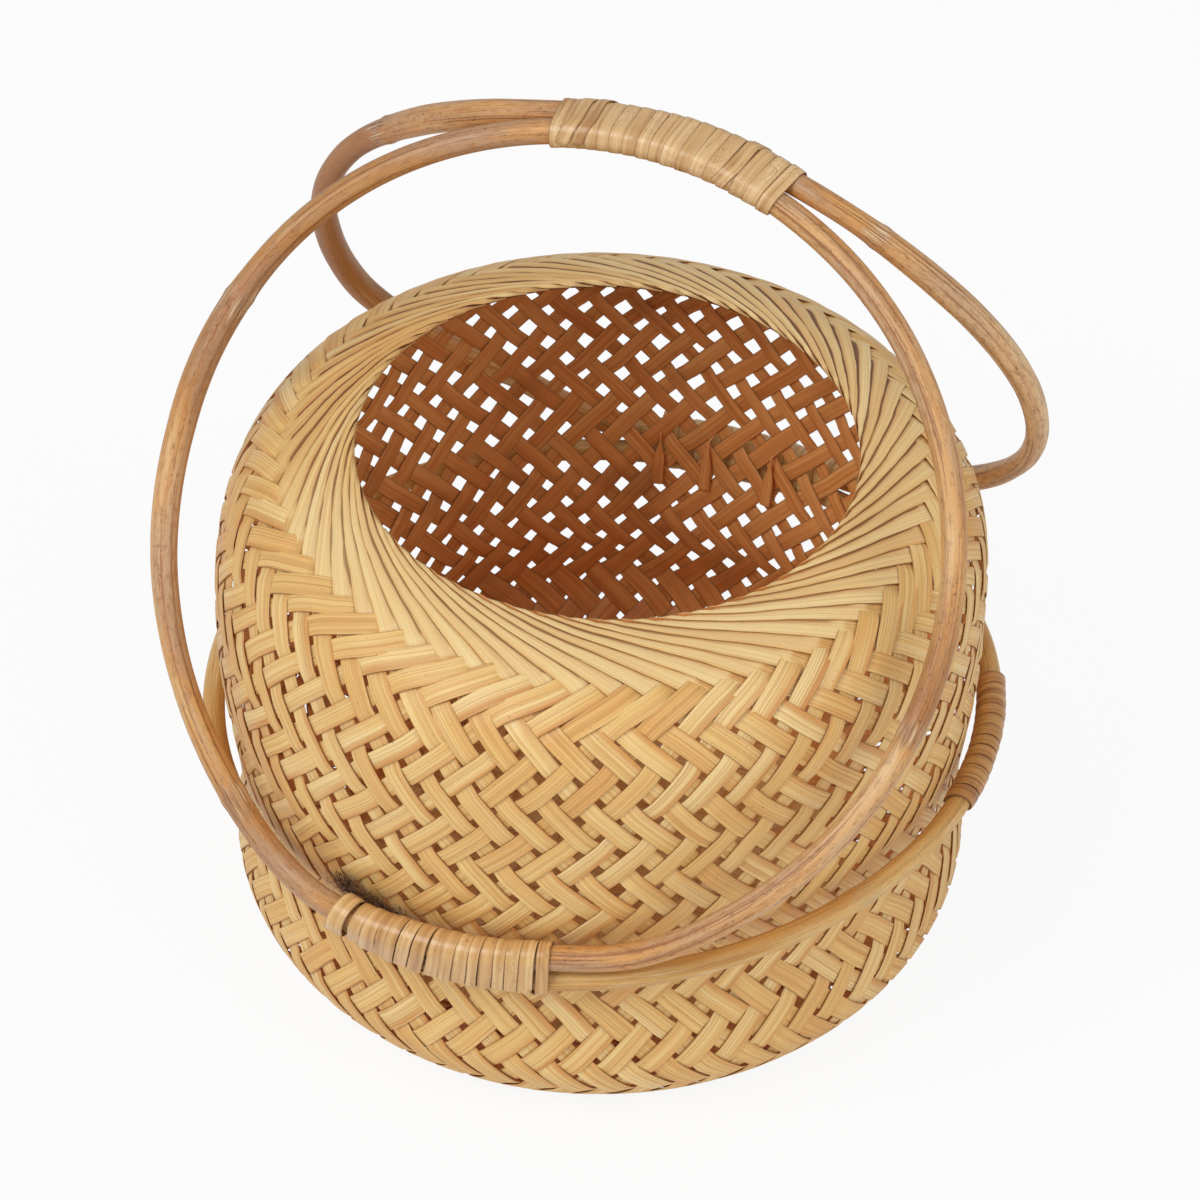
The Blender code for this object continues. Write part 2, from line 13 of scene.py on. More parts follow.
import bpy
import numpy as np
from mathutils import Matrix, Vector


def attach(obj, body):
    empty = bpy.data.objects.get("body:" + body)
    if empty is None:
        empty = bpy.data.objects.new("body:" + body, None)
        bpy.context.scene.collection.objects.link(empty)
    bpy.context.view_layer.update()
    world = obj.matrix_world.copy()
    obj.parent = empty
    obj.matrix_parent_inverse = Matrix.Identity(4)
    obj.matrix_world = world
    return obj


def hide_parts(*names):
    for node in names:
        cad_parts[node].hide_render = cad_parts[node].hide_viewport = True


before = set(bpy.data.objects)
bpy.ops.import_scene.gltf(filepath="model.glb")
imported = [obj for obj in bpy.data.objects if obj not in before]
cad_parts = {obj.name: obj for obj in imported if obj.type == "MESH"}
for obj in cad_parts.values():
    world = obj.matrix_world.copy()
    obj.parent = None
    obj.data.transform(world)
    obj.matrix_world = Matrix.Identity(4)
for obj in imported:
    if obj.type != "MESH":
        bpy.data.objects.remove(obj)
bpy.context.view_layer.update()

# Outside of the woven body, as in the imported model: stations as (radius, height)
BASE_RADIUS = 0.112
LOWER_BULGE = (0.1455, 0.036)
WAIST = (0.1428, 0.064)
BELLY = (0.150, 0.142)
SEAM = (0.1285, 0.217)
MOUTH = (0.0965, 0.2287)
SEAM_SLOPE = radians(30)
RIM_SLOPE = radians(12)
WALL_THICKNESS = 0.002
RIM_TILT = radians(1.4)
RIM_SHIFT = 0.003
BEYOND_RIM = 0.010
ARC_STEPS = 80
ARC_REACH = 0.36
SEAM_INDEX = 5 * ARC_STEPS

# Twill weave
STRIP_COUNT = 60
STRIP_PITCH = 2 * pi / STRIP_COUNT
ROW_TURN = STRIP_PITCH / 2
STRIP_PHASE = radians(4.3)
ROW_SPACING = ((0.0070, 0.00897), (0.015, 0.036))
ROW_ZERO_DEPTH = 0.0332
STRIP_THICKNESS = 0.0006
WEAVE_LIFT = 0.0005
SIDE_CHANGE = 0.26
FALLING_WIDTH = 0.0084
RISING_WIDTH = 0.0077
STEPS_PER_ROW = 6
STRIP_END_RADIUS = 0.086

# Width of the strips for their pitch. A turn is from one sine of the azimuth to another
FAR_TURN = (-0.10, 0.80)
HIGH_TURN = (-0.30, 0.70)
RIGHT_SIDE = 0.45
HIGH_CLOSENESS = (1.02, 0.86)
LOW_CLOSENESS = (1.10, 0.93)
LOW_DEPTH = (0.085, 0.165)
FOOT_CLOSENESS = 1.16
FOOT_DEPTH = (0.172, 0.196)
FOLD_CLOSENESS = (0.10, 0.42)
FOLD_CLOSENESS_DEPTH = (0.017, 0.003)
TOUCHING = 0.985

# Unevenness of the strips: shares of their width, and wanders as a size and a wave length
FALLING_SPREAD = (0.93, 1.05)
RISING_SPREAD = (0.93, 1.06)
WIDTH_WANDER = (0.00016, 0.11)
FAN_WANDER = (0.00022, 0.03)
SIDE_STEP = 0.0009
SIDE_WANDER = (0.00045, 0.10)

# Fan of swept strips
SWEEP_AT_SEAM = radians(19)
SWEEP_AT_RIM = (radians(22), radians(12))
FAN_START = (-0.001, -0.0075)
FAN_END = 1.12
FAN_STEPS = 70
FAN_WIDTH = 0.0082
FAN_WIDTH_DEPTH = (0.004, -0.006)
FAN_NARROWING = ((1, 0.76), (-0.010, -0.033))
FAN_REAR_WIDTH = 0.0009
FAN_REAR_DEPTH = (-0.014, -0.002)
FAN_CALM = ((1, 0.25), (0.002, -0.010))
FAN_LIFT = 0.0003
FAN_GAP = 0.0004
PLEAT_MIDDLE = radians(135)
PLEAT_REACH = (-0.55, 0.45)
PLEAT_RISE = (0.00015, 0.00050)
# How much further across a strip the fan's painted shade band reaches where the fan is pleated
CREASE_SHADE_SHIFT = 0.18
RIM_BEND_RADIUS = 0.0972
RIM_BEND = 0.0006
RIM_DROP = 0.0024
RIM_SINK = 0.6

# Top floats of the rising strips, which lie over the lowest part of the fan
FOLD_ROW = -3.5
FOLD_DEPTH = 0.0036
FOLD_SWAY = 0.0022
FOLD_LOBE = radians(-92)
FOLD_SOFTNESS = 0.0021
FOLD_LIFT = (0.0006, 0.0001)
FOLD_SINK = 0.0004
FLOAT_DEPTH = (0.013, 0.006)
RISING_TOP_DEPTH = -0.0115
RISING_FLATTEN = radians(3.4)
RISING_FLATTEN_DEPTH = (0.012, -0.009)
RISING_STEEPEN = radians(0.9)
RISING_STEEPEN_DEPTH = (0.034, 0.014)

# Flat mat of the base
MAT_PITCH = 0.0088
MAT_RADIUS = 0.098
MAT_HEIGHT = 0.0026
MAT_SIDE_CHANGE = 0.3

# Rattan poles and hoops. The rear hoop's shape and the front pair's angles are nearer to the
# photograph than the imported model's
HANDLE_POLE_RADIUS = 0.0050
WAIST_POLE_RADIUS = 0.0044
BINDING_ROOM = 0.0021
POLE_GAP = 0.0004
PAIR_DISTANCE = HANDLE_POLE_RADIUS + WAIST_POLE_RADIUS + POLE_GAP
WAIST_HOOP_HEIGHT = 0.0985
WAIST_HOOP_RISE = 0.0042
WAIST_HOOP_SADDLE = 0.0043
GRIP_HEIGHT = 0.3335
GRIP_BACK = 0.051
GRIP_TO_LEFT = 0.0035
GRIP_PAIR_ANGLE = radians(48)
GRIP_ROOM = 0.0107
FRONT_HOOP_SHAPE = (0.1562, -0.0028, -0.0039, 0.0031)
REAR_HOOP_SHAPE = (0.1505, 0.0155, 0.0031, -0.0058)
FRONT_PAIR_ANGLES = (radians(48), radians(76))
REAR_PAIR_ANGLE = radians(60)
FRONT = radians(-90)
REAR = radians(90)
FRONT_HALF_ANGLE = radians(16.5)
REAR_HALF_ANGLE = radians(14)
FRONT_EASE = (1.0, 2.4)
REAR_EASE = (1.0, 2.6)
GRIP_EASE = (1.0, 2.7)
UP = Vector((0, 0, 1))
HOOP_SAMPLES = 1080
HOOP_SMOOTHING = 54
POLE_SIDES = 20

# How each pole lies in the photograph: angle in degrees, millimetres outward across the view, thickness
WAIST_LIE = (
    (-122, 0, 1), (-112, 1, 1), (-105, 2.5, 1), (-98, 3.5, 1), (-90, 3.8, 1), (-80, 3.5, 1.02),
    (-72, 2.9, 1.04), (-60, 2.5, 1.02), (-50, 2, 1), (-30, 1.7, 1), (-10, 1.9, 1), (0, 1.3, 1),
    (20, 0.4, 1), (35, 0, 1))
FRONT_LIE = (
    (5, 0, 0.98), (20, 0.2, 0.99), (33, 0.9, 0.99), (45, 1.8, 0.99), (57, 2, 0.99), (70, 1.9, 0.98),
    (90, 2, 1), (110, 2.1, 1.01), (120, 2.4, 1.01), (130, 2.8, 1.01), (144, 2.8, 1.01), (153, 2.3, 1.03),
    (159, 2, 1.12), (165, 1.7, 1.12), (171, 1.1, 1.13), (177, 0.3, 1.11), (186, 0, 1.09),
    (195, -0.2, 1.04), (204, -0.7, 1.02), (213, -1.1, 0.99), (222, -1.2, 1.02), (230, -0.7, 1.04),
    (240, 0.2, 1), (250, 0.3, 1), (258, -0.8, 1), (264, -1.9, 1), (270, -1.9, 1), (276, -1.1, 1),
    (284, -0.2, 1), (300, 0, 1.02), (340, 0, 0.98))
REAR_LIE = (
    (0, 0.8, 0.94), (9, 1.6, 1.02), (18, 1.7, 1.07), (27, 1.5, 1.09), (36, 2.2, 1.12), (42, 3.1, 1.1),
    (48, 3.7, 1.05), (52, 3.9, 0.96), (57, 3.4, 0.92), (63, 2.2, 0.93), (68, 1.2, 0.95), (80, 0.3, 0.98),
    (96, -1.6, 1), (106, -1.2, 1.04), (114, -0.8, 1.1), (120, -1.5, 1.14), (126, -2.5, 1.15),
    (132, -3.4, 1.14), (138, -3.1, 1.06), (144, -1.9, 0.99), (150, -1.1, 0.97), (157, -0.8, 0.96),
    (168, -0.5, 1.04), (180, -0.3, 1.09), (189, 0.6, 1.1), (198, 1.7, 1.12), (212, 1, 1.08), (230, 0, 1),
    (300, 0, 1), (316, 1.7, 1.03), (324, 1.1, 0.99), (330, 0.5, 0.88), (345, 0, 0.87), (354, 0.4, 0.9))

# How pale or dark each pole is along its length, partly its own tone and partly painted light and shade:
# angle in degrees, from -1 dark to 1 pale
WAIST_TONE_AND_LIGHT = ((0, 0), (180, 0))
FRONT_TONE_AND_LIGHT = (
    (10, 0), (40, 0.5), (90, 0.3), (138, -0.8), (152, -0.6), (170, -0.6), (185, 0.6), (208, 0.2),
    (235, -0.4), (262, 0.2), (290, -0.2), (315, 0.4), (344, 0.8), (350, -1.2), (358, -0.8))
REAR_TONE_AND_LIGHT = (
    (5, 1), (40, 0.7), (60, -0.2), (80, -0.3), (120, 0.2), (136, -0.2), (144, -1.2), (190, -1.3),
    (225, -0.5), (330, 1))

# Each hoop: its knuckles in degrees, its tones with painted light and shade, and its slot. A knuckle's
# ridge is two swellings, each as a share of the pole's thickness and a length
HOOPS = (
    ("waist", (150, 332), WAIST_TONE_AND_LIGHT, "olive_rattan"),
    ("front", (156, 231, 348.5), FRONT_TONE_AND_LIGHT, "tan_rattan"),
    ("rear", (51, 138.5, 230), REAR_TONE_AND_LIGHT, "tan_rattan"),
)
KNUCKLE_RIDGE = ((0.060, 0.0021), (0.025, 0.007))
HOOP_REACH = 0.16
FAR_FROM_KNUCKLE = 0.5

# Bindings. Named turns are a width and the gap after it. A crossing wrap is its start and end as
# shares of the binding, its first and last angle in degrees, its width and its height
GRIP_BINDING_ENDS = (-0.039, 0.053)
FRONT_BINDING_ENDS = (FRONT + radians(-17.4), FRONT + radians(15.8))
REAR_BINDING_ENDS = (REAR - REAR_HALF_ANGLE, REAR + REAR_HALF_ANGLE)
LAP_MIDDLE = radians(9.5)
LAP_BINDING_ENDS = (LAP_MIDDLE - radians(13.5), LAP_MIDDLE + radians(13.5))
GRIP_TURNS = ((1, -0.1), (0.9, -0.1), (0.85, -0.05), (0.8, -0.08))
GRIP_CROSSINGS = (
    (0.03, 0.19, 212, -32, 0.0052, 0.0009),
    (0.10, 0.24, 212, -32, 0.0040, 0.0012),
    (0.74, 0.86, 208, -28, 0.0054, 0.0009),
)
FRONT_TURNS = (
    (1.45, 0.42), (0.95, 0.04), (1.25, 0), (0.8, 0.02), (0.75, 0.1), (1, 0.1), (1.05, 0.2), (1, 0),
    (0.9, 0.02), (1.05, 0.03), (0.7, 0.06), (1, 0.02), (0.8, 0.03), (0.95, 0.02), (1.05, 0.2), (0.9, 0))
FRONT_LIFTS = (0.0018, 0.0004, 0.0006, 0.0001, 0.0008, 0.0003, 0.0005, 0, 0.0004, 0, 0.0003)
FRONT_CROSSINGS = ((0.895, 0.925, 95, 175, 0.0040, 0.0007),)
STEPS_PER_TURN = 48
CROSSING_STEPS = 60
TURN_SPREAD = 0.14
TURN_GAPS = (-0.06, 0.05)
CANE_CLEARANCE = 0.00035
CANE_WANDER = 0.00025
CROSSING_CLEARANCE = 0.0002

# Ties through the wall behind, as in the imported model
TIE_ANGLES = (84, 95, 103)
TIE_WIDTH = 0.0046
TIE_THICKNESS = 0.0009
TIE_COVER = 0.00295
TIE_CORNER = 0.00125
TIE_FROM_WALL = 0.00135
TIE_MIDDLE = 0.11
TIE_LEAN = radians(0.2)
TIE_POINT = 0.86
TIE_POINT_SHARE = (0.45, 1.02)
TIE_OUTER_WIDTH = 0.55

# Dark fibre. Each clump is its azimuth in degrees, its height over the hoop, its spread along and up,
# and how many hairs it has, and how many of them in its core
FIBRE_CLUMPS = (
    (-107.6, 0.0108, 0.0026, 0.0018, 44, 18),
    (-102.2, 0.0088, 0.0034, 0.0014, 46, 18),
    (-98.5, 0.0080, 0.0085, 0.0020, 22, 0),
    (-50.5, 0.0040, 0.0012, 0.0016, 7, 0),
)
HAIR_STEPS = 19
CORE_HAIR = {"reach": (0.002, 0.004), "lie": 0.30, "size": (0.00018, 0.00034)}
LOOSE_HAIR = {"reach": (0.0028, 0.0075), "lie": 0.75, "size": (0.00009, 0.00016)}
CORE_CURL = 0.0009
LOOSE_CURL = (0.0012, 0.0032)

# Camera, from the photograph's perspective, and light
CAMERA_PLACE = (0.7096, -1.6883, 1.8145)
CAMERA_AIM = (0.0, 0.0, 0.1481)
CAMERA_LENS = 190.5
VIEW = np.array(CAMERA_AIM) - np.array(CAMERA_PLACE)
VIEW /= np.linalg.norm(VIEW)
FLOOR_GLOW = 0.90
WORLD_LIGHT = 0.46
LIGHT_AIM = (0, 0, 0.12)
LIGHT_SIZE = 1.6


def smooth_step(marks, value):
    low, high = marks
    t = np.clip((value - low) / (high - low), 0, 1)
    return t * t * (3 - 2 * t)


def between(ends, share):
    return ends[0] + (ends[1] - ends[0]) * share


def eased(ends, marks, value):
    """From one end to the other while the value goes from mark to mark."""
    return between(ends, smooth_step(marks, value))


def unit(vectors):
    return vectors / np.linalg.norm(vectors, axis=-1, keepdims=True)


def path_length(points):
    """The distance along a line at each of its points."""
    return np.append(0, np.cumsum(np.linalg.norm(np.diff(points, axis=0), axis=1)))


def loop_direction(points):
    return unit(np.roll(points, -1, 0) - np.roll(points, 1, 0))


def turned(radius, azimuth, height):
    return np.stack([radius * np.cos(azimuth), radius * np.sin(azimuth), height], -1)


def add_object(name, data):
    made = bpy.data.objects.new(name, data)
    bpy.context.scene.collection.objects.link(made)
    return made


# Outline of the body


def arc_between(start, end):
    """A smooth curve between two stations, each a radius, a height and a direction."""
    (r0, z0, a0), (r3, z3, a3) = start, end
    length = hypot(r3 - r0, z3 - z0) * ARC_REACH
    r1, z1 = r0 + length * cos(a0), z0 + length * sin(a0)
    r2, z2 = r3 - length * cos(a3), z3 - length * sin(a3)
    t = np.linspace(0, 1, ARC_STEPS + 1)
    weights = np.stack([(1 - t) ** 3, 3 * t * (1 - t) ** 2, 3 * t * t * (1 - t), t ** 3], 1)
    return weights @ np.array([(r0, z0), (r1, z1), (r2, z2), (r3, z3)])


def make_outline():
    """The outline from the middle of the base to a point past the rim."""
    stations = [
        (0, 0, 0),
        (BASE_RADIUS, 0, 0),
        (*LOWER_BULGE, pi / 2),
        (*WAIST, pi / 2),
        (*BELLY, pi / 2),
        (*SEAM, pi - SEAM_SLOPE),
        (*MOUTH, pi - RIM_SLOPE),
    ]
    arcs = [arc_between(a, b)[1:] for a, b in zip(stations, stations[1:])]
    beyond = arcs[-1][-1] + BEYOND_RIM * np.array([-cos(RIM_SLOPE), sin(RIM_SLOPE)])
    return np.concatenate([[[0, 0]]] + arcs + [[beyond]])


OUTLINE = make_outline()
OUTLINE_LENGTH = path_length(OUTLINE)
OUTLINE_SLOPE = np.gradient(OUTLINE, OUTLINE_LENGTH, axis=0)
SEAM_LENGTH = OUTLINE_LENGTH[SEAM_INDEX]
FAN_LENGTH = OUTLINE_LENGTH[-2] - SEAM_LENGTH
WALL = OUTLINE[ARC_STEPS + 1:SEAM_INDEX + 1]
FAN_INWARD = OUTLINE[SEAM_INDEX:][::-1]


def wall_radius(height):
    return np.interp(height, WALL[:, 1], WALL[:, 0])


def radius_at(depth):
    return np.interp(SEAM_LENGTH - depth, OUTLINE_LENGTH, OUTLINE[:, 0])


def lean(points):
    """Tilts the mouth and moves it to the right."""
    weight = smooth_step((BELLY[1], MOUTH[1]), points[..., 2])
    leaned = points.copy()
    leaned[..., 0] += RIM_SHIFT * weight
    leaned[..., 2] -= tan(RIM_TILT) * points[..., 0] * weight
    return leaned


def on_body(depth, azimuth):
    """The place and outward normal on the middle of the wall's thickness, before the lean."""
    columns = (*OUTLINE.T, *OUTLINE_SLOPE.T)
    r, z, dr, dz = (np.interp(SEAM_LENGTH - depth, OUTLINE_LENGTH, column) for column in columns)
    size = np.hypot(dr, dz)
    nr, nz = dz / size, -dr / size
    inward = WALL_THICKNESS / 2
    return turned(r - nr * inward, azimuth, z - nz * inward), turned(nr, azimuth, nz)


# Rows of the weave, counted downward from the row at ROW_ZERO_DEPTH


def make_row_table():
    depth = np.linspace(-0.02, 0.30, 1601)
    spacing = eased(*ROW_SPACING, depth)
    row = np.append(0, np.cumsum(np.diff(depth) * 2 / (spacing[1:] + spacing[:-1])))
    return depth, row - np.interp(ROW_ZERO_DEPTH, depth, row)


ROW_DEPTH, ROW_NUMBER = make_row_table()


def row_at(depth):
    return np.interp(depth, ROW_DEPTH, ROW_NUMBER)


def depth_at(row):
    return np.interp(row, ROW_NUMBER, ROW_DEPTH)


LAST_ROW = row_at(SEAM_LENGTH - STRIP_END_RADIUS)


def fold_share(depth, azimuth):
    """From 0 where the top floats of the rising strips lie outside to 1 where the fan covers them."""
    end = -FOLD_DEPTH - FOLD_SWAY * np.cos(3 * (azimuth - FOLD_LOBE))
    return smooth_step((FOLD_SOFTNESS, -FOLD_SOFTNESS), depth - end)


def twill_side(row, change):
    """From +1 where a strip lies over the others to -1 where it lies under them: two rows each."""
    phase = np.mod(row + 0.5, 4)
    distance = np.where(phase < 2, np.minimum(phase, 2 - phase), -np.minimum(phase - 2, 4 - phase))
    return np.sin(np.pi / 2 * np.clip(distance / change, -1, 1))


def rising_side(row, fold):
    """The side of the rising strips, with their top floats drawn out up to the fold."""
    return np.where(row > FOLD_ROW, twill_side(row, SIDE_CHANGE), 1 - 2 * fold)


def far_share(azimuth):
    """From 0 in front and at the sides to 1 behind."""
    return smooth_step(FAR_TURN, np.sin(azimuth))


def widest(depth):
    """The width at which neighbouring strips of the wall touch."""
    radius = radius_at(depth)
    turning = radius * ROW_TURN * np.interp(depth, ROW_DEPTH, np.gradient(ROW_NUMBER, ROW_DEPTH))
    return TOUCHING * radius * STRIP_PITCH / np.hypot(1, turning)


def closeness(azimuth, depth):
    """How wide the strips are for their pitch: closer in front than behind, low down and at the fold."""
    sine = np.sin(azimuth)
    high = eased(HIGH_CLOSENESS, HIGH_TURN, sine)
    low = eased(LOW_CLOSENESS, FAR_TURN, sine - RIGHT_SIDE * np.maximum(np.cos(azimuth), 0))
    low = eased((low, FOOT_CLOSENESS), FOOT_DEPTH, depth)
    fold = between(FOLD_CLOSENESS, far_share(azimuth)) * smooth_step(FOLD_CLOSENESS_DEPTH, depth)
    return eased((high, low), LOW_DEPTH, depth) + fold


# Meshes of strips

# A strip's section: place across it, height, and 0 outside to 1 inside
STRIP_SECTION = np.array([
    (-0.50, -0.10, 0.5),
    (-0.47, 0.34, 0.0),
    (-0.22, 0.50, 0.0),
    (0.22, 0.50, 0.0),
    (0.47, 0.34, 0.0),
    (0.50, -0.10, 0.5),
    (0.43, -0.50, 1.0),
    (-0.43, -0.50, 1.0),
])
SECTION_ACROSS, SECTION_HEIGHT, SECTION_SIDE = STRIP_SECTION.T


class Skin:
    """Gathers rows of rings into one mesh, with what the materials read at every point."""

    def __init__(self):
        self.points = []
        self.faces = []
        self.values = []
        self.count = 0

    def add(self, rings, along, across, side, seed, loop=False, cover=0.0):
        rows, sides = rings.shape[:2]
        index = self.count + np.arange(rows * sides).reshape(rows, sides)
        following = np.roll(index, -1, 0) if loop else index[1:]
        near = index if loop else index[:-1]
        quads = np.stack([near, np.roll(near, -1, 1), np.roll(following, -1, 1), following], -1)
        self.faces += quads.reshape(-1, 4).tolist()
        if not loop:
            self.faces += [index[0][::-1].tolist(), index[-1].tolist()]
        self.points.append(rings.reshape(-1, 3))
        values = [np.broadcast_to(v, (rows, sides)) for v in (along[:, None], across, seed, side, cover)]
        self.values.append(np.stack(values, -1).reshape(-1, len(values)))
        self.count += rows * sides

    def build(self, name, material, sharp=40):
        mesh = bpy.data.meshes.new(name)
        mesh.from_pydata(np.concatenate(self.points).tolist(), [], self.faces)
        values = np.concatenate(self.values).astype(np.float32)
        strand = mesh.attributes.new("strand", 'FLOAT_VECTOR', 'POINT')
        strand.data.foreach_set("vector", values[:, :3].ravel())
        for key, column in (("side", 3), ("cover", 4)):
            mesh.attributes.new(key, 'FLOAT', 'POINT')
            mesh.attributes[key].data.foreach_set("value", values[:, column].copy())
        mesh.materials.append(material)
        mesh.shade_smooth()
        mesh.set_sharp_from_angle(angle=radians(sharp))
        return add_object(name, mesh)


def strip_rings(centre, normal, width, thickness, lateral=0, lift=0, tilt=0, arch=0):
    """Rings of a strip along centre. Its left edge rises by the tilt, its middle by the arch."""
    along = unit(np.gradient(centre, axis=0))
    across = unit(np.cross(along, normal))
    normal = np.cross(across, along)
    values = (width, lateral, lift, tilt, arch)
    width, lateral, lift, tilt, arch = (np.broadcast_to(v, len(centre))[:, None] for v in values)
    side_way = across * np.cos(tilt) - normal * np.sin(tilt)
    up_way = normal * np.cos(tilt) + across * np.sin(tilt)
    x = SECTION_ACROSS * width
    y = SECTION_HEIGHT * thickness + arch * (1 - 4 * SECTION_ACROSS ** 2)
    base = centre + across * lateral + normal * lift
    return base[:, None] + side_way[:, None] * x[..., None] + up_way[:, None] * y[..., None], x


def round_rings(centre, first, second, around, radius):
    """Round rings about a line, from two ways that are square to it and to each other."""
    way = np.cos(around)[None, :, None] * first[:, None] + np.sin(around)[None, :, None] * second[:, None]
    return centre[:, None] + radius[..., None] * way


def drift(rng, length, size, wave):
    """A slow wander along a strip."""
    total = np.zeros_like(length)
    for part in (1, 0.55, 0.3):
        total += part * size * np.sin(2 * pi * (length / (wave * part) + rng.random()))
    return total


def sideways(rng, length):
    """How far a strip lies beside its proper line."""
    return rng.uniform(-SIDE_STEP, SIDE_STEP) + drift(rng, length, *SIDE_WANDER)


# Body


def fan_bend(azimuth):
    """The part of the sweep that grows toward the rim, larger in front than behind."""
    return between(SWEEP_AT_RIM, (1 + sin(azimuth)) / 2)


def pleat_share(azimuth):
    """From 0 in front to 1 at the left and behind, where the fan is deeply pleated."""
    return smooth_step(PLEAT_REACH, np.cos(azimuth - PLEAT_MIDDLE))


def fan_spacing(share, bend):
    """The space between neighbouring strips of the fan, square to them."""
    radius = radius_at(-share * FAN_LENGTH)
    turning = radius * (SWEEP_AT_SEAM + 3 * bend * share ** 2) / FAN_LENGTH
    return radius * STRIP_PITCH / np.hypot(1, turning)


def fold_at_rim(points):
    """Bends what runs past the rim down into the mouth, its outer face still outermost."""
    radius = np.hypot(points[..., 0], points[..., 1])
    past = np.where(points[..., 2] > SEAM[1], np.maximum(RIM_BEND_RADIUS - radius, 0), 0)
    height = points[..., 2] - np.interp(radius, *FAN_INWARD.T)
    rim_height = np.interp(RIM_BEND_RADIUS, *FAN_INWARD.T)
    bent = 1 - np.exp(-past / RIM_BEND)
    drop = RIM_DROP * (1 - np.exp(-past / RIM_DROP))
    new_radius = np.where(past > 0, RIM_BEND_RADIUS - (RIM_BEND + RIM_SINK * height) * bent, radius)
    folded = points.copy()
    folded[..., :2] *= (new_radius / radius)[..., None]
    bent_height = rim_height + height * (1 - RIM_SINK * bent) - drop
    folded[..., 2] = np.where(past > 0, bent_height, points[..., 2])
    return folded


def make_falling_strips(material):
    """Strips that run down to the right on the wall, and sweep round the mouth above the seam."""
    rng = random.Random(11)
    skin = Skin()
    seam_row = float(row_at(0))
    wall_rows = np.arange(LAST_ROW, seam_row, -1 / STEPS_PER_ROW)
    fan = np.linspace(0.01, FAN_END, FAN_STEPS)
    depth = np.concatenate([depth_at(wall_rows), -fan * FAN_LENGTH])
    row = row_at(depth)
    for number in range(STRIP_COUNT):
        start = STRIP_PITCH * number + STRIP_PHASE
        bend = fan_bend(start + ROW_TURN * seam_row)
        swept = ROW_TURN * seam_row - SWEEP_AT_SEAM * fan - bend * fan ** 3
        azimuth = start + np.concatenate([ROW_TURN * wall_rows, swept])
        fold = fold_share(depth, azimuth)
        on_fan = smooth_step(FAN_START, depth) * fold
        spacing = fan_spacing(np.clip(-depth / FAN_LENGTH, 0, 1), bend)
        tilt = on_fan * np.arcsin((STRIP_THICKNESS + FAN_GAP) / spacing)
        place, normal = on_body(depth, azimuth)
        length = path_length(place)
        wide = rng.uniform(*FALLING_SPREAD)
        on_wall = FALLING_WIDTH * wide * closeness(azimuth, depth) + drift(rng, length, *WIDTH_WANDER)
        in_fan = FAN_WIDTH * wide * eased(*FAN_NARROWING, depth) + drift(rng, length, *FAN_WANDER)
        in_fan += FAN_REAR_WIDTH * far_share(azimuth) * smooth_step(FAN_REAR_DEPTH, depth)
        on_wall = np.minimum(on_wall, widest(depth))
        width = eased((on_wall, in_fan), FAN_WIDTH_DEPTH, depth)
        lateral = sideways(rng, length) * eased(*FAN_CALM, depth)
        lift = -WEAVE_LIFT * rising_side(row, fold) * (1 - on_fan) + FAN_LIFT * on_fan
        pleat = pleat_share(azimuth) * on_fan
        arch = between(PLEAT_RISE, pleat) * on_fan
        rings, across = strip_rings(place, normal, width, STRIP_THICKNESS, lateral, lift, tilt, arch)
        # cover: place across a fan strip against the spacing, up to where its neighbour lies over it; the
        # bamboo paints light and shade by it
        cover = (across + width[:, None] / 2) / spacing[:, None] * on_fan[:, None]
        cover = cover + CREASE_SHADE_SHIFT * pleat[:, None]
        skin.add(lean(fold_at_rim(rings)), length, across, SECTION_SIDE, rng.random(), cover=cover)
    return skin.build("falling_strips", material)


def make_rising_strips(material):
    """Strips that run up to the right on the wall and end under the fan."""
    rng = random.Random(23)
    skin = Skin()
    row = np.arange(LAST_ROW, row_at(RISING_TOP_DEPTH), -1 / STEPS_PER_ROW)
    depth = depth_at(row)
    flatten = RISING_FLATTEN * smooth_step(RISING_FLATTEN_DEPTH, depth)
    steepen = RISING_STEEPEN * smooth_step(RISING_STEEPEN_DEPTH, depth)
    top_float = smooth_step(FLOAT_DEPTH, depth)
    for number in range(STRIP_COUNT):
        azimuth = STRIP_PITCH * number + STRIP_PHASE - ROW_TURN * row + flatten - steepen
        fold = fold_share(depth, azimuth)
        place, normal = on_body(depth, azimuth)
        length = path_length(place)
        wide = rng.uniform(*RISING_SPREAD)
        width = RISING_WIDTH * wide * closeness(azimuth, depth) + drift(rng, length, *WIDTH_WANDER)
        width = np.minimum(width, widest(depth))
        raised = between(FOLD_LIFT, far_share(azimuth)) * top_float * (1 - fold)
        lateral = sideways(rng, length)
        lift = WEAVE_LIFT * rising_side(row, fold) + raised - FOLD_SINK * fold
        rings, across = strip_rings(place, normal, width, STRIP_THICKNESS, lateral, lift)
        skin.add(lean(rings), length, across, SECTION_SIDE, rng.random())
    return skin.build("rising_strips", material)


def make_base_mat(material):
    """A flat twill mat that closes the base, lying on the ends of the wall's strips."""
    rng = random.Random(5)
    skin = Skin()
    reach = int(MAT_RADIUS / MAT_PITCH)
    for direction in (0, 1):
        for line in range(-reach, reach + 1):
            offset = line * MAT_PITCH
            half = sqrt(MAT_RADIUS ** 2 - offset ** 2)
            steps = np.arange(-half, half, MAT_PITCH / STEPS_PER_ROW)
            place = np.zeros((len(steps), 3))
            place[:, direction] = steps
            place[:, 1 - direction] = offset
            place[:, 2] = MAT_HEIGHT
            side = twill_side(steps / MAT_PITCH + line, MAT_SIDE_CHANGE)
            lift = side * WEAVE_LIFT * (1 if direction else -1)
            normal = np.tile([0.0, 0.0, -1.0], (len(steps), 1))
            rings, across = strip_rings(place, normal, MAT_PITCH, STRIP_THICKNESS, 0, lift)
            skin.add(rings, steps, across, 0.0, rng.random())
    return skin.build("base_mat", material)


# Hoops


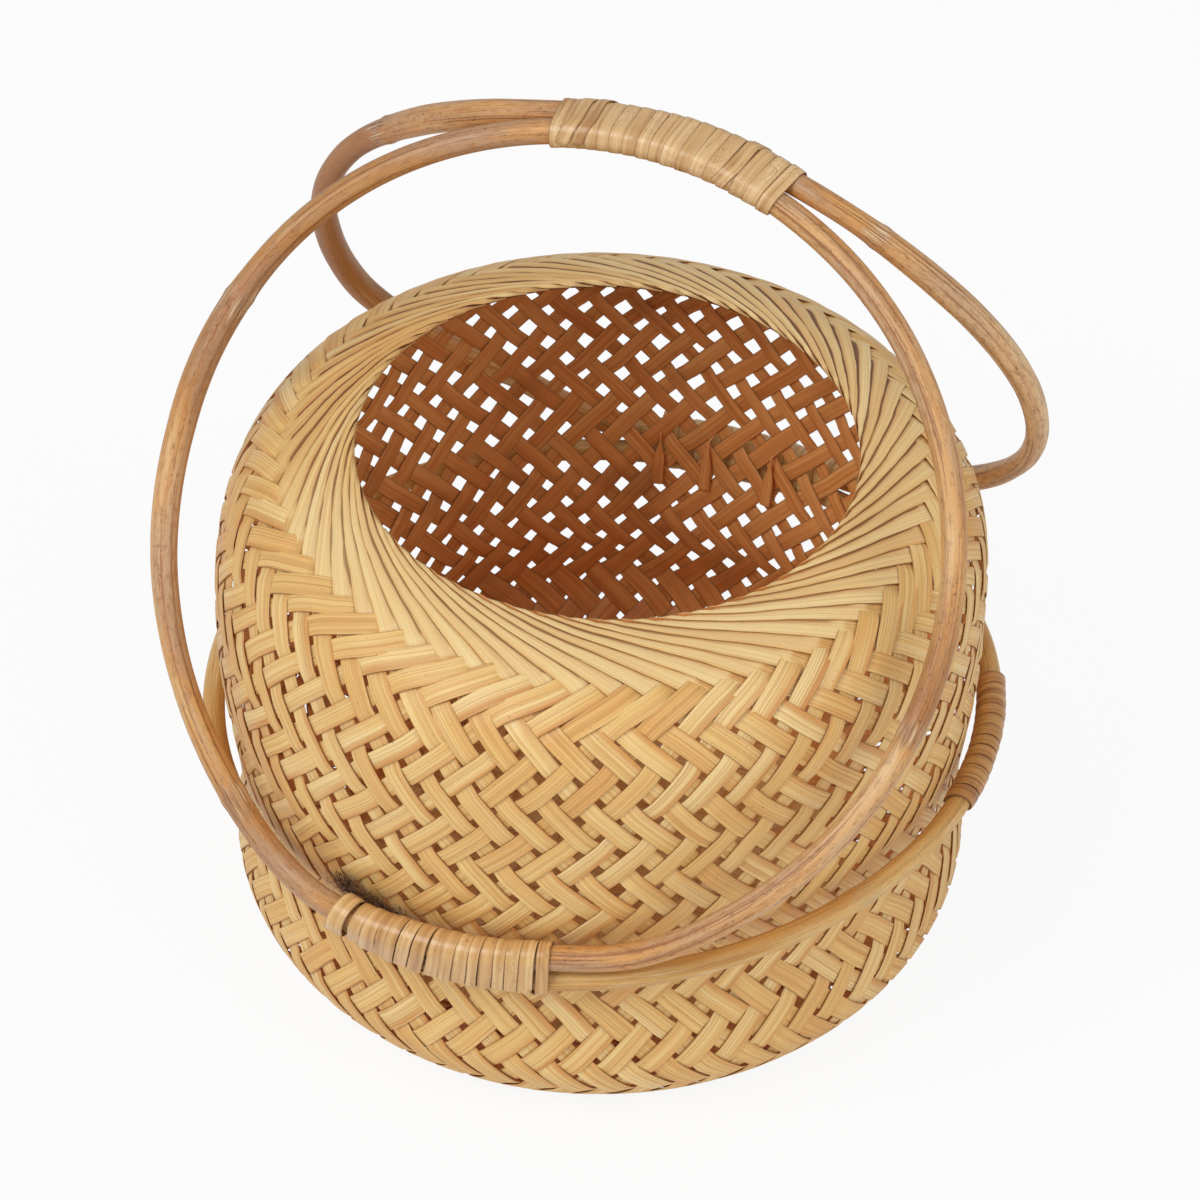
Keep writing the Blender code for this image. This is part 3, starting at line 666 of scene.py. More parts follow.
def waist_hoop_point(angle):
    """The middle of the waist hoop, which clears the wall by the room for a binding."""
    height = WAIST_HOOP_HEIGHT + WAIST_HOOP_RISE * cos(angle) + WAIST_HOOP_SADDLE * cos(2 * angle)
    wall = max(wall_radius(height + step * WAIST_POLE_RADIUS) for step in (-0.7, 0, 0.7))
    radius = wall + BINDING_ROOM + WAIST_POLE_RADIUS
    return Vector((radius * cos(angle), radius * sin(angle), height))


def beside_waist_hoop(angle, pair_angle):
    """The middle of a tall hoop bound to the waist hoop."""
    outward = Vector((cos(angle), sin(angle), 0))
    away = outward * cos(pair_angle) + UP * sin(pair_angle)
    return waist_hoop_point(angle) + away * PAIR_DISTANCE


def push_clear(point):
    """The point, moved away from the waist hoop where a tall hoop would cut it."""
    away = point - waist_hoop_point(atan2(point.y, point.x))
    lack = PAIR_DISTANCE - away.length
    return point + away.normalized() * max(lack, 0)


def hoop_point(theta, bottom, top, shape):
    half_width, bow, twist, side_shift = shape
    rise = top - bottom
    half_height = rise.length / 2
    rise.normalize()
    across = Vector((1, 0, 0)) - rise * rise.x
    across.normalize()
    cosine = cos(theta)
    width = half_width * cosine + side_shift * cosine ** 2
    out = bow * cosine ** 2 + twist * sin(2 * theta)
    middle = (bottom + top) / 2
    return middle + across * width + rise * (half_height * sin(theta)) + across.cross(rise) * out


def led_to_foot(point, middle, half_angle, ease, pair_angle):
    """The point of a tall hoop, moved beside the waist hoop about the middle of their binding."""
    angle = atan2(point.y, point.x)
    weight = 1 - float(smooth_step(ease, abs(angle - middle) / half_angle))
    return point.lerp(beside_waist_hoop(angle, pair_angle(angle)), weight)


def front_pair_angle(angle):
    share = smooth_step((FRONT - FRONT_HALF_ANGLE, FRONT + FRONT_HALF_ANGLE), angle)
    return between(FRONT_PAIR_ANGLES, float(share) ** 3)


def front_hoop_point(theta):
    bottom = beside_waist_hoop(FRONT, front_pair_angle(FRONT))
    top = Vector((-GRIP_TO_LEFT, GRIP_BACK, GRIP_HEIGHT))
    point = hoop_point(theta, bottom, top, FRONT_HOOP_SHAPE)
    if sin(theta) < 0:
        point = led_to_foot(point, FRONT, FRONT_HALF_ANGLE, FRONT_EASE, front_pair_angle)
    return push_clear(point)


@lru_cache
def upper_front_hoop():
    return np.array([front_hoop_point(radians(a)) for a in range(160, 19, -2)])


def front_hoop_at_x(x):
    xs, ys, zs = upper_front_hoop().T
    return Vector((x, float(np.interp(x, xs, ys)), float(np.interp(x, xs, zs))))


def beside_front_hoop(x):
    """The middle of the rear hoop where it is bound to the front hoop at the grip."""
    tangent = (front_hoop_at_x(x + 0.002) - front_hoop_at_x(x - 0.002)).normalized()
    away = Vector((0, cos(GRIP_PAIR_ANGLE), sin(GRIP_PAIR_ANGLE)))
    slant = sqrt(1 - away.dot(tangent) ** 2)
    return front_hoop_at_x(x) + away * ((2 * HANDLE_POLE_RADIUS + POLE_GAP) / slant)


def rear_hoop_point(theta):
    bottom = beside_waist_hoop(REAR, REAR_PAIR_ANGLE)
    top = beside_front_hoop(-GRIP_TO_LEFT)
    point = hoop_point(theta, bottom, top, REAR_HOOP_SHAPE)
    if sin(theta) < 0:
        point = led_to_foot(point, REAR, REAR_HALF_ANGLE, REAR_EASE, lambda angle: REAR_PAIR_ANGLE)
    else:
        low, high = GRIP_BINDING_ENDS
        reach = abs(point.x - (low + high) / 2) / ((high - low) / 2)
        weight = 1 - float(smooth_step(GRIP_EASE, reach))
        point = point.lerp(beside_front_hoop(point.x), weight)
    return push_clear(point)


def smooth_loop(points, passes=HOOP_SMOOTHING):
    for _ in range(passes):
        points = (np.roll(points, 1, 0) + 2 * points + np.roll(points, -1, 0)) / 4
    return points


def square_to_view(centre):
    """For each point of a pole's line, the way that is square to it and to the view, outward."""
    return unit(np.cross(VIEW, loop_direction(centre)))


def lay_pole(point_at, radius, table):
    """A pole's line and its radius along it, moved from its formula's line as the table says."""
    degrees = np.arange(HOOP_SAMPLES) * 360 / HOOP_SAMPLES
    centre = smooth_loop(np.array([point_at(radians(d)) for d in degrees]))
    marks, out, thick = np.array(table).T
    shift = smooth_loop(np.interp(degrees, marks, out, period=360) / 1000)
    size = smooth_loop(np.interp(degrees, marks, thick, period=360) * radius)
    return centre + square_to_view(centre) * shift[:, None], size


def part_at_grip(front, rear):
    """Moves two poles' lines apart along the view where they would touch at the grip."""
    moves = []
    for line, other in ((front, rear), (rear, front)):
        apart = other[None] - line[:, None]
        nearest = np.linalg.norm(apart, axis=2).argmin(1)
        gap = apart[np.arange(len(line)), nearest] * (1 if other is rear else -1)
        deep = gap @ VIEW
        square = (gap ** 2).sum(1)
        short = np.maximum(deep ** 2 - square + GRIP_ROOM ** 2, 0)
        lack = np.where(square < GRIP_ROOM ** 2, np.sqrt(short) - deep, 0)
        moves.append(smooth_loop(lack, 3 * HOOP_SMOOTHING))
    return front - VIEW * moves[0][:, None] / 2, rear + VIEW * moves[1][:, None] / 2


@lru_cache
def poles():
    """The line and radius of each pole."""
    waist = lay_pole(waist_hoop_point, WAIST_POLE_RADIUS, WAIST_LIE)
    front, front_size = lay_pole(front_hoop_point, HANDLE_POLE_RADIUS, FRONT_LIE)
    rear, rear_size = lay_pole(rear_hoop_point, HANDLE_POLE_RADIUS, REAR_LIE)
    front, rear = part_at_grip(front, rear)
    return {"waist": waist, "front": (front, front_size), "rear": (rear, rear_size)}


def make_hoop(which, knuckles, tone_and_light_table, seed, material):
    """A round rattan pole bent into a ring, a little uneven, with a raised ridge at each knuckle."""
    rng = random.Random(seed)
    centre, size = poles()[which]
    thetas = np.arange(HOOP_SAMPLES) * 2 * pi / HOOP_SAMPLES
    along = loop_direction(centre)
    out = centre - centre.mean(0)
    out = unit(out - along * (out * along).sum(1, keepdims=True))
    length = path_length(centre)
    size = size * (1 + 0.010 * np.sin(thetas * 3 + rng.random() * 6) + 0.008 * np.sin(thetas * 11 + seed))
    around = np.arange(POLE_SIDES) * 2 * pi / POLE_SIDES
    ring_size = np.repeat(size[:, None], POLE_SIDES, 1)
    from_knuckle = np.full((HOOP_SAMPLES, POLE_SIDES), FAR_FROM_KNUCKLE)
    for knuckle in knuckles:
        lag = 0.0008 * np.sin(around + knuckle) + 0.0003 * np.sin(3 * around + 2 * knuckle)
        far = (np.degrees(thetas)[:, None] - knuckle + 180) % 360 - 180
        far = np.radians(far) * HOOP_REACH + lag[None]
        ring_size *= 1 + sum(rise * np.exp(-(far / width) ** 2) for rise, width in KNUCKLE_RIDGE)
        from_knuckle = np.where(np.abs(far) < np.abs(from_knuckle), far, from_knuckle)
    rings = round_rings(centre, out, np.cross(along, out), around, ring_size)
    # Tones along the pole, partly its own and partly painted light and shade, kept as cover for the
    # material
    marks, tone_and_light_levels = np.array(tone_and_light_table).T
    tone_and_light_level = smooth_loop(np.interp(np.degrees(thetas), marks, tone_and_light_levels, period=360))
    mirrored = np.abs(length - length[-1] / 2) + 3.1 * seed
    skin = Skin()
    skin.add(rings, mirrored, np.cos(around), from_knuckle, np.sin(around), True, tone_and_light_level[:, None])
    return skin.build(which + "_pole", material, 60)


# Bindings


class Pair:
    """Two poles side by side, or one pole twice, that cane is wound round from end to end."""

    def __init__(self, lines, ends, radius_a, radius_b):
        self.path_a, self.path_b = (lambda share, line=line: line(between(ends, share)) for line in lines)
        self.radius_a = radius_a
        self.radius_b = radius_b
        self.span = (self.path_a(1) - self.path_a(0)).length
        self.spread = (self.path_a(0.5) - self.path_b(0.5)).length

    def place(self, share, angle, clear):
        """A point on a band pulled round both poles, and the way out of it there."""
        a, b = self.path_a(share), self.path_b(share)
        ahead = self.path_a(share + 0.01) + self.path_b(share + 0.01)
        behind = self.path_a(share - 0.01) + self.path_b(share - 0.01)
        along = (ahead - behind).normalized()
        pair = (a - b) - along * (a - b).dot(along)
        spread = pair.length
        side = pair.normalized() if spread > 1e-7 else UP.cross(along).normalized()
        third = along.cross(side)
        x, y = cos(angle), sin(angle)
        blend = float(smooth_step((-0.18, 0.18), x))
        radius = between((self.radius_b, self.radius_a), blend) + clear
        middle = spread / 2 * (2 * blend - 1)
        return (a + b) / 2 + side * (middle + x * radius) + third * (y * radius), side * x + third * y


def even_pace(angles, spread, radius):
    """How many times round two poles a band has come, by its length rather than by its angle."""
    whole = np.floor(angles / (2 * pi))
    rest = np.degrees(angles - 2 * pi * whole)
    straight = smooth_step((80, 100), rest) + smooth_step((260, 280), rest)
    length = np.radians(rest) * radius + straight * spread
    return whole + length / (2 * pi * radius + 2 * spread)


def wind(skin, pair, angles, shares, widths, clears, thickness, tilt, seed):
    """One length of flat cane laid round a pair of poles."""
    placed = [pair.place(s, a, c) for s, a, c in zip(shares, angles, clears)]
    centre, normal = (np.array(column) for column in zip(*placed))
    rings, across = strip_rings(centre, normal, widths, thickness, 0, 0, tilt)
    # cover: how near the edge of the cane, for its painted edge shade
    skin.add(rings, path_length(centre), across, SECTION_SIDE, seed, cover=np.abs(2 * SECTION_ACROSS))


def turn_layout(rng, turns, first=()):
    """The middle and width of every turn as shares of the whole length. first lists some of them."""
    sizes = [size for size, _ in first]
    gaps = [gap for _, gap in first]
    while len(sizes) < turns:
        sizes.append(rng.uniform(1 - TURN_SPREAD, 1 + TURN_SPREAD))
        gaps.append(rng.uniform(*TURN_GAPS))
    starts = np.cumsum([0] + [size + gap for size, gap in zip(sizes, gaps)])
    return (starts[:-1] + np.array(sizes) / 2) / starts[-1], np.array(sizes) / starts[-1]


def make_binding(name, pair, turns, seed, material, first=(), lifts=(), phase=0.1, thickness=0.0007,
                 fill=1.05, tilt=0.06, crossings=(), way=1, slant=0.0):
    """Cane wound round two poles in overlapping turns, with wraps laid across them."""
    rng = random.Random(seed)
    skin = Skin()
    middles, sizes = turn_layout(rng, turns, first)
    angles = 2 * pi * phase + np.arange(turns * STEPS_PER_TURN + 1) * 2 * pi / STEPS_PER_TURN
    pace = even_pace(angles, pair.spread, pair.radius_a)
    turn = pace - pace[0]
    by_turn = partial(np.interp, turn, np.arange(turns) + 0.5)
    shares = by_turn(middles)
    shares = np.where(turn < 0.5, middles[0] + (turn - 0.5) * sizes[0], shares)
    shares = np.where(turn > turns - 0.5, middles[-1] + (turn - turns + 0.5) * sizes[-1], shares)
    shares = shares + slant / turns * np.cos(2 * pi * pace) * smooth_step((1.1 * turns, 0), turn)
    widths = by_turn(sizes) * pair.span * fill
    heights = list(lifts) + [0.0] * (turns - len(lifts))
    wander = by_turn([rng.uniform(0, CANE_WANDER) for _ in range(turns)])
    clears = thickness / 2 + CANE_CLEARANCE + by_turn(heights) + wander
    wind(skin, pair, way * angles, shares, widths, clears, thickness, tilt, rng.random())
    step = np.linspace(0, 1, CROSSING_STEPS)
    ends = smooth_step((0, 0.15), step) * smooth_step((1, 0.85), step)
    for start, end, first_angle, last_angle, width, height in crossings:
        angles = np.radians(between((first_angle, last_angle), step))
        clears = thickness / 2 + CROSSING_CLEARANCE + height * ends
        widths = width * between((0.75, 1), ends)
        wind(skin, pair, angles, between((start, end), step), widths, clears, thickness, 0, rng.random())
    return skin.build(name, material)


def look_up(marks, points):
    """A line as a function of a mark that grows along it."""
    order = np.argsort(marks)
    marks, points = marks[order], points[order]
    return lambda mark: Vector([float(np.interp(mark, marks, points[:, k])) for k in range(3)])


def pole_by_angle(which, middle, reach=radians(45)):
    points = poles()[which][0]
    angles = np.arctan2(points[:, 1], points[:, 0])
    chosen = (np.abs(angles - middle) < reach) & (points[:, 2] < GRIP_HEIGHT / 2)
    return look_up(angles[chosen], points[chosen])


def pole_by_x(which):
    points = poles()[which][0]
    points = points[points[:, 2] > 0.9 * GRIP_HEIGHT]
    return look_up(points[:, 0], points)


def make_bindings(canes):
    """Each binding with the name of the node that it stands for."""
    handle, waist = HANDLE_POLE_RADIUS, WAIST_POLE_RADIUS
    grip_lines = [pole_by_x(which) for which in ("rear", "front")]
    front_lines = [pole_by_angle(which, FRONT) for which in ("front", "waist")]
    rear_lines = [pole_by_angle(which, REAR) for which in ("rear", "waist")]
    lap_lines = [pole_by_angle("waist", LAP_MIDDLE)] * 2
    grip = make_binding("grip_wrap", Pair(grip_lines, GRIP_BINDING_ENDS, handle, handle), 17, 3,
                        canes["grip"], first=GRIP_TURNS, crossings=GRIP_CROSSINGS, way=-1)
    front = make_binding("front_wrap", Pair(front_lines, FRONT_BINDING_ENDS, handle, waist), 16, 4,
                         canes["front"], first=FRONT_TURNS, lifts=FRONT_LIFTS, phase=0.25, tilt=0.04,
                         thickness=0.0010, crossings=FRONT_CROSSINGS, way=-1, slant=0.40)
    rear = make_binding("rear_wrap", Pair(rear_lines, REAR_BINDING_ENDS, handle, waist), 11, 5,
                        canes["front"], phase=0.75)
    lap = make_binding("lap_wrap", Pair(lap_lines, LAP_BINDING_ENDS, waist, waist), 12, 6,
                       canes["lap"], phase=0.0, fill=0.97, tilt=0.05, thickness=0.0010)
    return (grip, "grip_binding"), (front, "front_binding"), (rear, "rear_binding"), (lap, "lap_binding")


# Ties and fibre


def tie_circles(angle):
    """What a tie goes round in its upright plane, as (distance, height, radius), and its two ends."""
    outward = Vector((cos(angle), sin(angle), 0))
    lower = waist_hoop_point(angle)
    upper = beside_waist_hoop(angle, REAR_PAIR_ANGLE)
    circles = [(lower.dot(outward), lower.z, WAIST_POLE_RADIUS + TIE_COVER),
               (upper.dot(outward), upper.z, HANDLE_POLE_RADIUS + TIE_COVER)]
    top = upper.z + HANDLE_POLE_RADIUS + TIE_COVER - TIE_CORNER
    foot = lower.z - WAIST_POLE_RADIUS - TIE_COVER + TIE_CORNER
    for height in (top, foot):
        distance = wall_radius(height) - WALL_THICKNESS - TIE_FROM_WALL + TIE_CORNER
        circles.append((distance, height, TIE_CORNER))
    return np.array(circles), top, foot


def make_ties(material):
    """A flat tie through the wall round both poles behind: pointed where it comes in at the top."""
    pieces = []
    turn = np.linspace(0, 2 * pi, 97)[:-1]
    out = np.stack([np.cos(turn), np.sin(turn)], -1)
    for number, degrees in enumerate(TIE_ANGLES, 1):
        angle = radians(degrees)
        circles, top, foot = tie_circles(angle)
        best = circles[(out @ circles[:, :2].T + circles[:, 2]).argmax(1)]
        band = best[:, :2] + best[:, 2:] * out
        closed = np.vstack([band, band[:1]])
        length = path_length(closed)
        even = np.linspace(0, length[-1], 121)[:-1]
        r, z = (np.interp(even, length, column) for column in closed.T)
        share = (z - foot) / (top - foot)
        middle = wall_radius(TIE_MIDDLE)
        inner = smooth_step((middle + 0.002, middle - 0.002), r)
        centre = turned(r, angle - TIE_LEAN * (2 * share - 1), z)
        across = np.tile([-sin(angle), cos(angle), 0.0], (len(centre), 1))
        normal = np.cross(across, loop_direction(centre))
        point = 1 - TIE_POINT * smooth_step(TIE_POINT_SHARE, share) * inner
        width = TIE_WIDTH * point * between((TIE_OUTER_WIDTH, 1), inner)
        x = SECTION_ACROSS * width[:, None]
        y = SECTION_HEIGHT * TIE_THICKNESS
        rings = centre[:, None] + across[:, None] * x[..., None] + normal[:, None] * y[None, :, None]
        skin = Skin()
        skin.add(rings, even, x, 1.0, 0.1 + 0.31 * number, loop=True)
        pieces.append(skin.build("back_tie_%d" % number, material))
    return pieces


def make_fibre(material):
    """Clumps of fine curled fibres caught between the wall and the waist hoop."""
    rng = random.Random(17)
    skin = Skin()
    sides = np.arange(3) * 2 * pi / 3
    share = np.linspace(-1, 1, HAIR_STEPS)
    for degrees, height, along_spread, up_spread, count, core_count in FIBRE_CLUMPS:
        for number in range(count):
            core = number < core_count
            hair = CORE_HAIR if core else LOOSE_HAIR
            angle = radians(degrees) + rng.gauss(0, 1) * along_spread / BELLY[0]
            reach = rng.uniform(*hair["reach"])
            lie = rng.gauss(0, hair["lie"])
            curl = CORE_CURL if core else rng.uniform(*LOOSE_CURL)
            slide = reach * share * cos(lie) + drift(rng, share, curl, 1.3)
            rise = height + rng.gauss(0, 1) * up_spread + reach * share * sin(lie)
            rise = np.maximum(rise + drift(rng, share, curl, 1.1), WAIST_POLE_RADIUS)
            stray = rng.uniform(0, 0.0022) * share ** 2
            out = 0.0016 + abs(rng.gauss(0, 0.0010)) + stray + drift(rng, share, 0.0003, 0.9)
            z = waist_hoop_point(angle).z + rise
            centre = turned(wall_radius(z) + out, angle + slide / BELLY[0], z)
            along = unit(np.gradient(centre, axis=0))
            up = unit(np.cross(along, np.array([0.3, 0.2, 1.0])))
            thin = rng.uniform(*hair["size"]) * (1 - 0.7 * np.abs(share) ** 3)
            rings = round_rings(centre, up, np.cross(along, up), sides, thin[:, None])
            skin.add(rings, path_length(centre), sides * 0.0001, 0.0, rng.random())
    return skin.build("fibre_wad", material)


# Materials. Colours are the 0 to 255 values that a viewer reads


def linear(tone):
    """A colour as linear light."""
    c = np.array(tone) / 255
    return (*np.where(c <= 0.04045, c / 12.92, ((c + 0.055) / 1.055) ** 2.4).tolist(), 1)


class Nodes:
    """Short names for building a material's nodes."""

    def __init__(self, name, **fixed):
        self.material = bpy.data.materials.new(name)
        self.material.use_nodes = True
        self.tree = self.material.node_tree
        self.shader = self.tree.nodes["Principled BSDF"]
        for socket, value in fixed.items():
            self.shader.inputs[socket.replace("_", " ")].default_value = value

    def node(self, kind, *values, **settings):
        """A node with its settings, and a value or a link for each of its first sockets."""
        made = self.tree.nodes.new("ShaderNode" + kind)
        for key, value in settings.items():
            setattr(made, key, value)
        for socket, value in zip(made.inputs, values):
            self.plug(socket, value)
        return made

    def plug(self, socket, value):
        if isinstance(value, bpy.types.NodeSocket):
            self.tree.links.new(value, socket)
        else:
            socket.default_value = value

    def math(self, operation, *values):
        return self.node("Math", *values, operation=operation).outputs[0]

    def times(self, a, b):
        return self.math('MULTIPLY', a, b)

    def offset(self, value, middle, share, base):
        """The base, moved by a share of what the value is over its middle."""
        return self.math('MULTIPLY_ADD', self.math('SUBTRACT', value, middle), share, base)

    def total(self, *parts):
        """The sum of values, each with its share."""
        result = self.times(*parts[0])
        for value, share in parts[1:]:
            result = self.math('ADD', result, self.times(value, share))
        return result

    def mix(self, factor, a, b):
        made = self.node("Mix", factor, data_type='RGBA')
        self.plug(made.inputs[6], a)
        self.plug(made.inputs[7], b)
        return made.outputs[2]

    def tint(self, colour, *layers):
        """The colour under layers, each a mask, its strength and its own colour."""
        for mask, strength, tone in layers:
            colour = self.mix(self.times(mask, strength), colour, linear(tone))
        return colour

    def strand(self):
        """The values that Skin keeps first: along, across and seed."""
        made = self.node("Attribute", attribute_name="strand")
        return tuple(self.node("SeparateXYZ", made.outputs["Vector"]).outputs)

    def attribute(self, name):
        return self.node("Attribute", attribute_name=name).outputs["Fac"]

    def texture(self, vector, detail, roughness, scale=1.0):
        return self.node("TexNoise", vector, 0.0, scale, detail, roughness).outputs[0]

    def noise(self, along, across, seed, scales, detail=2.0, roughness=0.5):
        """Noise drawn out along a strip. scales are cycles per metre along and across it."""
        place = self.times(along, scales[0]), self.times(across, scales[1]), self.times(seed, 97.0)
        return self.texture(self.node("CombineXYZ", *place).outputs[0], detail, roughness)

    def pole_noise(self, strand, scales, detail, roughness, shift=0.0):
        """Noise on a round pole. scales are cycles per metre along it and cycles per turn."""
        along, cosine, sine = strand
        turn = scales[1] / (2 * pi)
        along = self.math('MULTIPLY_ADD', along, scales[0], shift)
        joined = self.node("CombineXYZ", along, self.times(cosine, turn), self.times(sine, turn))
        return self.texture(joined.outputs[0], detail, roughness)

    def ramp(self, factor, *stops):
        made = self.node("ValToRGB", factor)
        elements = made.color_ramp.elements
        while len(elements) < len(stops):
            elements.new(0.5)
        for element, (place, tone) in zip(elements, stops):
            element.position = place
            element.color = linear(tone)
        return made.outputs[0]

    def grade(self, value, low, high):
        """value from low to high as 0 to 1."""
        return self.node("MapRange", value, low, high, clamp=True).outputs[0]

    def bump(self, height, distance):
        made = self.node("Bump", 1.0, distance)
        self.plug(made.inputs["Height"], height)
        self.plug(self.shader.inputs["Normal"], made.outputs[0])

    def finish(self, colour, roughness, specular=0.5):
        self.plug(self.shader.inputs["Base Color"], colour)
        self.plug(self.shader.inputs["Roughness"], roughness)
        self.shader.inputs["Specular IOR Level"].default_value = specular
        return self.material


def bamboo_material():
    """Split bamboo: straw outside with fine fibres and orange edges, reddish brown inside. The fan's
    outer face has painted light, and the strips have painted shade along their edges and along the fan's
    tucked sides.
    """
    n = Nodes("bamboo_strip", Coat_Weight=0.12, Coat_Roughness=0.30)
    strand = n.strand()
    along, across, seed = strand
    fine = n.noise(*strand, (10, 3000), 2.0, 0.6)
    lines = n.noise(along, across, n.math('ADD', seed, 0.37), (4, 1500), 1.0)
    streaks = n.noise(*strand, (6, 560))
    patches = n.noise(*strand, (16, 60))
    specks = n.noise(*strand, (700, 1300), 1.0)
    strip_tone = n.noise(0.0, 0.0, seed, (1, 1), 0.0)
    side = n.attribute("side")
    cover = n.attribute("cover")
    where = n.node("TexCoord").outputs["Object"]
    x, y, _ = n.node("SeparateXYZ", where).outputs
    # Front, left and right of the basket: they set how strong the painted light and shade are
    front = n.grade(y, 0.0, -0.07)
    left = n.times(n.grade(x, -0.03, -0.08), n.grade(y, -0.09, -0.05))
    right = n.times(n.grade(x, 0.04, 0.09), n.grade(y, 0.09, 0.04))
    place = n.offset(strip_tone, 0.5, 0.008, across)
    edge = n.times(n.grade(place, 0.0012, 0.0036), n.grade(patches, 0.40, 0.60))
    # Painted light: the fan's outer face is painted paler, most in front and least at the left
    pale = n.math('MULTIPLY_ADD', left, -0.28, n.math('MULTIPLY_ADD', front, 0.14, 0.34))
    # Painted shade: an orange-brown band on each fan strip's tucked side, under its neighbour's raised
    # edge, stronger at the left and weaker in front
    wander = n.noise(along, 0.0, n.math('ADD', seed, 0.71), (48, 1), 1.0)
    crease_shade = n.offset(wander, 0.5, 0.36, cover)
    crease_shade_strength = n.math('MULTIPLY_ADD', left, 0.40, n.math('MULTIPLY_ADD', front, -0.30, 0.50))
    # Painted shade: a thin dark line at the tucked side of the fan's strips, weaker in front and at the
    # right
    deep = n.math('SUBTRACT', 1.2, n.total((front, 0.50), (right, 0.60)))
    deep = n.times(n.grade(crease_shade, 0.88, 0.95), deep)
    outside = n.ramp(n.total((streaks, 0.30), (patches, 0.30), (strip_tone, 0.40)),
                     (0.40, (233, 176, 101)), (0.49, (243, 199, 123)), (0.58, (251, 219, 153)))
    outside = n.tint(
        outside,
        (edge, 0.85, (218, 146, 68)),
        (n.grade(lines, 0.52, 0.62), 0.42, (196, 134, 68)),
        (n.grade(fine, 0.50, 0.68), 0.45, (190, 128, 64)),
        (n.grade(specks, 0.72, 0.77), 0.50, (126, 80, 40)),
        # Painted light on the fan's outer face
        (n.grade(cover, 0.02, 0.20), pale, (254, 228, 170)),
        # Painted shade along the tucked side of the fan's strips
        (n.grade(crease_shade, 0.62, 1.0), crease_shade_strength, (210, 138, 72)),
        # Painted shade: dark brown on the edges of every strip and in the thin line at the fan's tucked
        # sides
        (n.math('MAXIMUM', n.grade(side, 0.08, 0.5), deep), 0.76, (118, 66, 30)))
    stain = n.texture(where, 3, 0.5, 26)
    inside = n.ramp(n.total((streaks, 0.6), (patches, 0.4)),
                    (0.36, (226, 146, 76)), (0.50, (242, 170, 98)), (0.64, (250, 190, 116)))
    inside = n.tint(
        inside,
        (n.grade(lines, 0.52, 0.64), 0.25, (166, 98, 48)),
        (n.grade(fine, 0.52, 0.70), 0.30, (156, 90, 44)),
        (n.grade(stain, 0.52, 0.68), 0.45, (160, 100, 56)))
    n.bump(n.total((fine, 0.5), (lines, 0.8)), 0.00020)
    colour = n.mix(n.grade(side, 0.55, 0.95), outside, inside)
    return n.finish(colour, n.math('MULTIPLY_ADD', fine, 0.25, 0.36))


def rattan_material(name, pale, middle, dark, wear, scratch):
    """Round rattan with its skin: orange and grey patches, lengthwise lines, mottling, rough knuckles,
    and painted light and shade along the pole.
    """
    n = Nodes(name)
    strand = n.strand()
    grain = n.pole_noise(strand, (30, 34), 3.0, 0.6)
    mottle = n.pole_noise(strand, (190, 22), 3.0, 0.7, 11.0)
    broad = n.pole_noise(strand, (11, 2.6), 2.0, 0.5, 23.0)
    streaks = n.pole_noise(strand, (13, 14), 3.0, 0.6, 37.0)
    lines = n.pole_noise(strand, (9, 44), 1.0, 0.5, 51.0)
    specks = n.pole_noise(strand, (520, 46), 1.0, 0.5, 67.0)
    hairs = n.pole_noise(strand, (42, 60), 1.0, 0.5, 83.0)
    tone_and_light_level = n.attribute("cover")
    line = n.grade(lines, 0.53, 0.62)
    knuckle = n.math('ABSOLUTE', n.math('SUBTRACT', n.attribute("side"), 0.0022))
    ragged = n.offset(streaks, 0.5, 0.022, knuckle)
    rough = n.math('SUBTRACT', 1.0, n.grade(ragged, 0.0025, 0.0065))
    tone = n.total((grain, 0.15), (broad, 0.70), (mottle, 0.15))
    colour = n.ramp(tone, (0.40, dark), (0.49, middle), (0.60, pale))
    colour = n.tint(
        colour,
        # Paler or darker along the pole by its table: partly the rattan's own tone, partly painted light
        # and shade
        (n.grade(tone_and_light_level, 0.0, 1.0), 0.55, (240, 206, 160)),
        (n.grade(tone_and_light_level, 0.0, -1.5), 0.95, (156, 98, 50)),
        (n.grade(streaks, 0.50, 0.66), 0.50 * wear, (186, 114, 54)),
        (n.grade(mottle, 0.50, 0.62), 0.45 * wear, (158, 100, 58)),
        (n.times(line, n.grade(streaks, 0.42, 0.58)), 0.60 * wear, (134, 80, 40)),
        (n.times(n.grade(specks, 0.62, 0.70), n.grade(streaks, 0.46, 0.58)), 0.65 * wear, (98, 60, 34)),
        (n.times(n.grade(hairs, 0.60, 0.70), n.grade(broad, 0.50, 0.60)), scratch, (250, 230, 186)),
        (rough, 0.35 * wear, (196, 154, 116)),
        (n.times(rough, n.grade(hairs, 0.46, 0.36)), 0.75 * wear ** 2, (240, 214, 176)),
        (n.times(rough, n.grade(hairs, 0.54, 0.62)), 0.70 * wear ** 2, (108, 68, 42)))
    relief = n.total((grain, 1.0), (mottle, 0.4), (n.times(rough, hairs), 1.8), (line, -0.3))
    n.bump(relief, 0.00022)
    return n.finish(colour, n.math('MULTIPLY_ADD', grain, 0.25, 0.26))


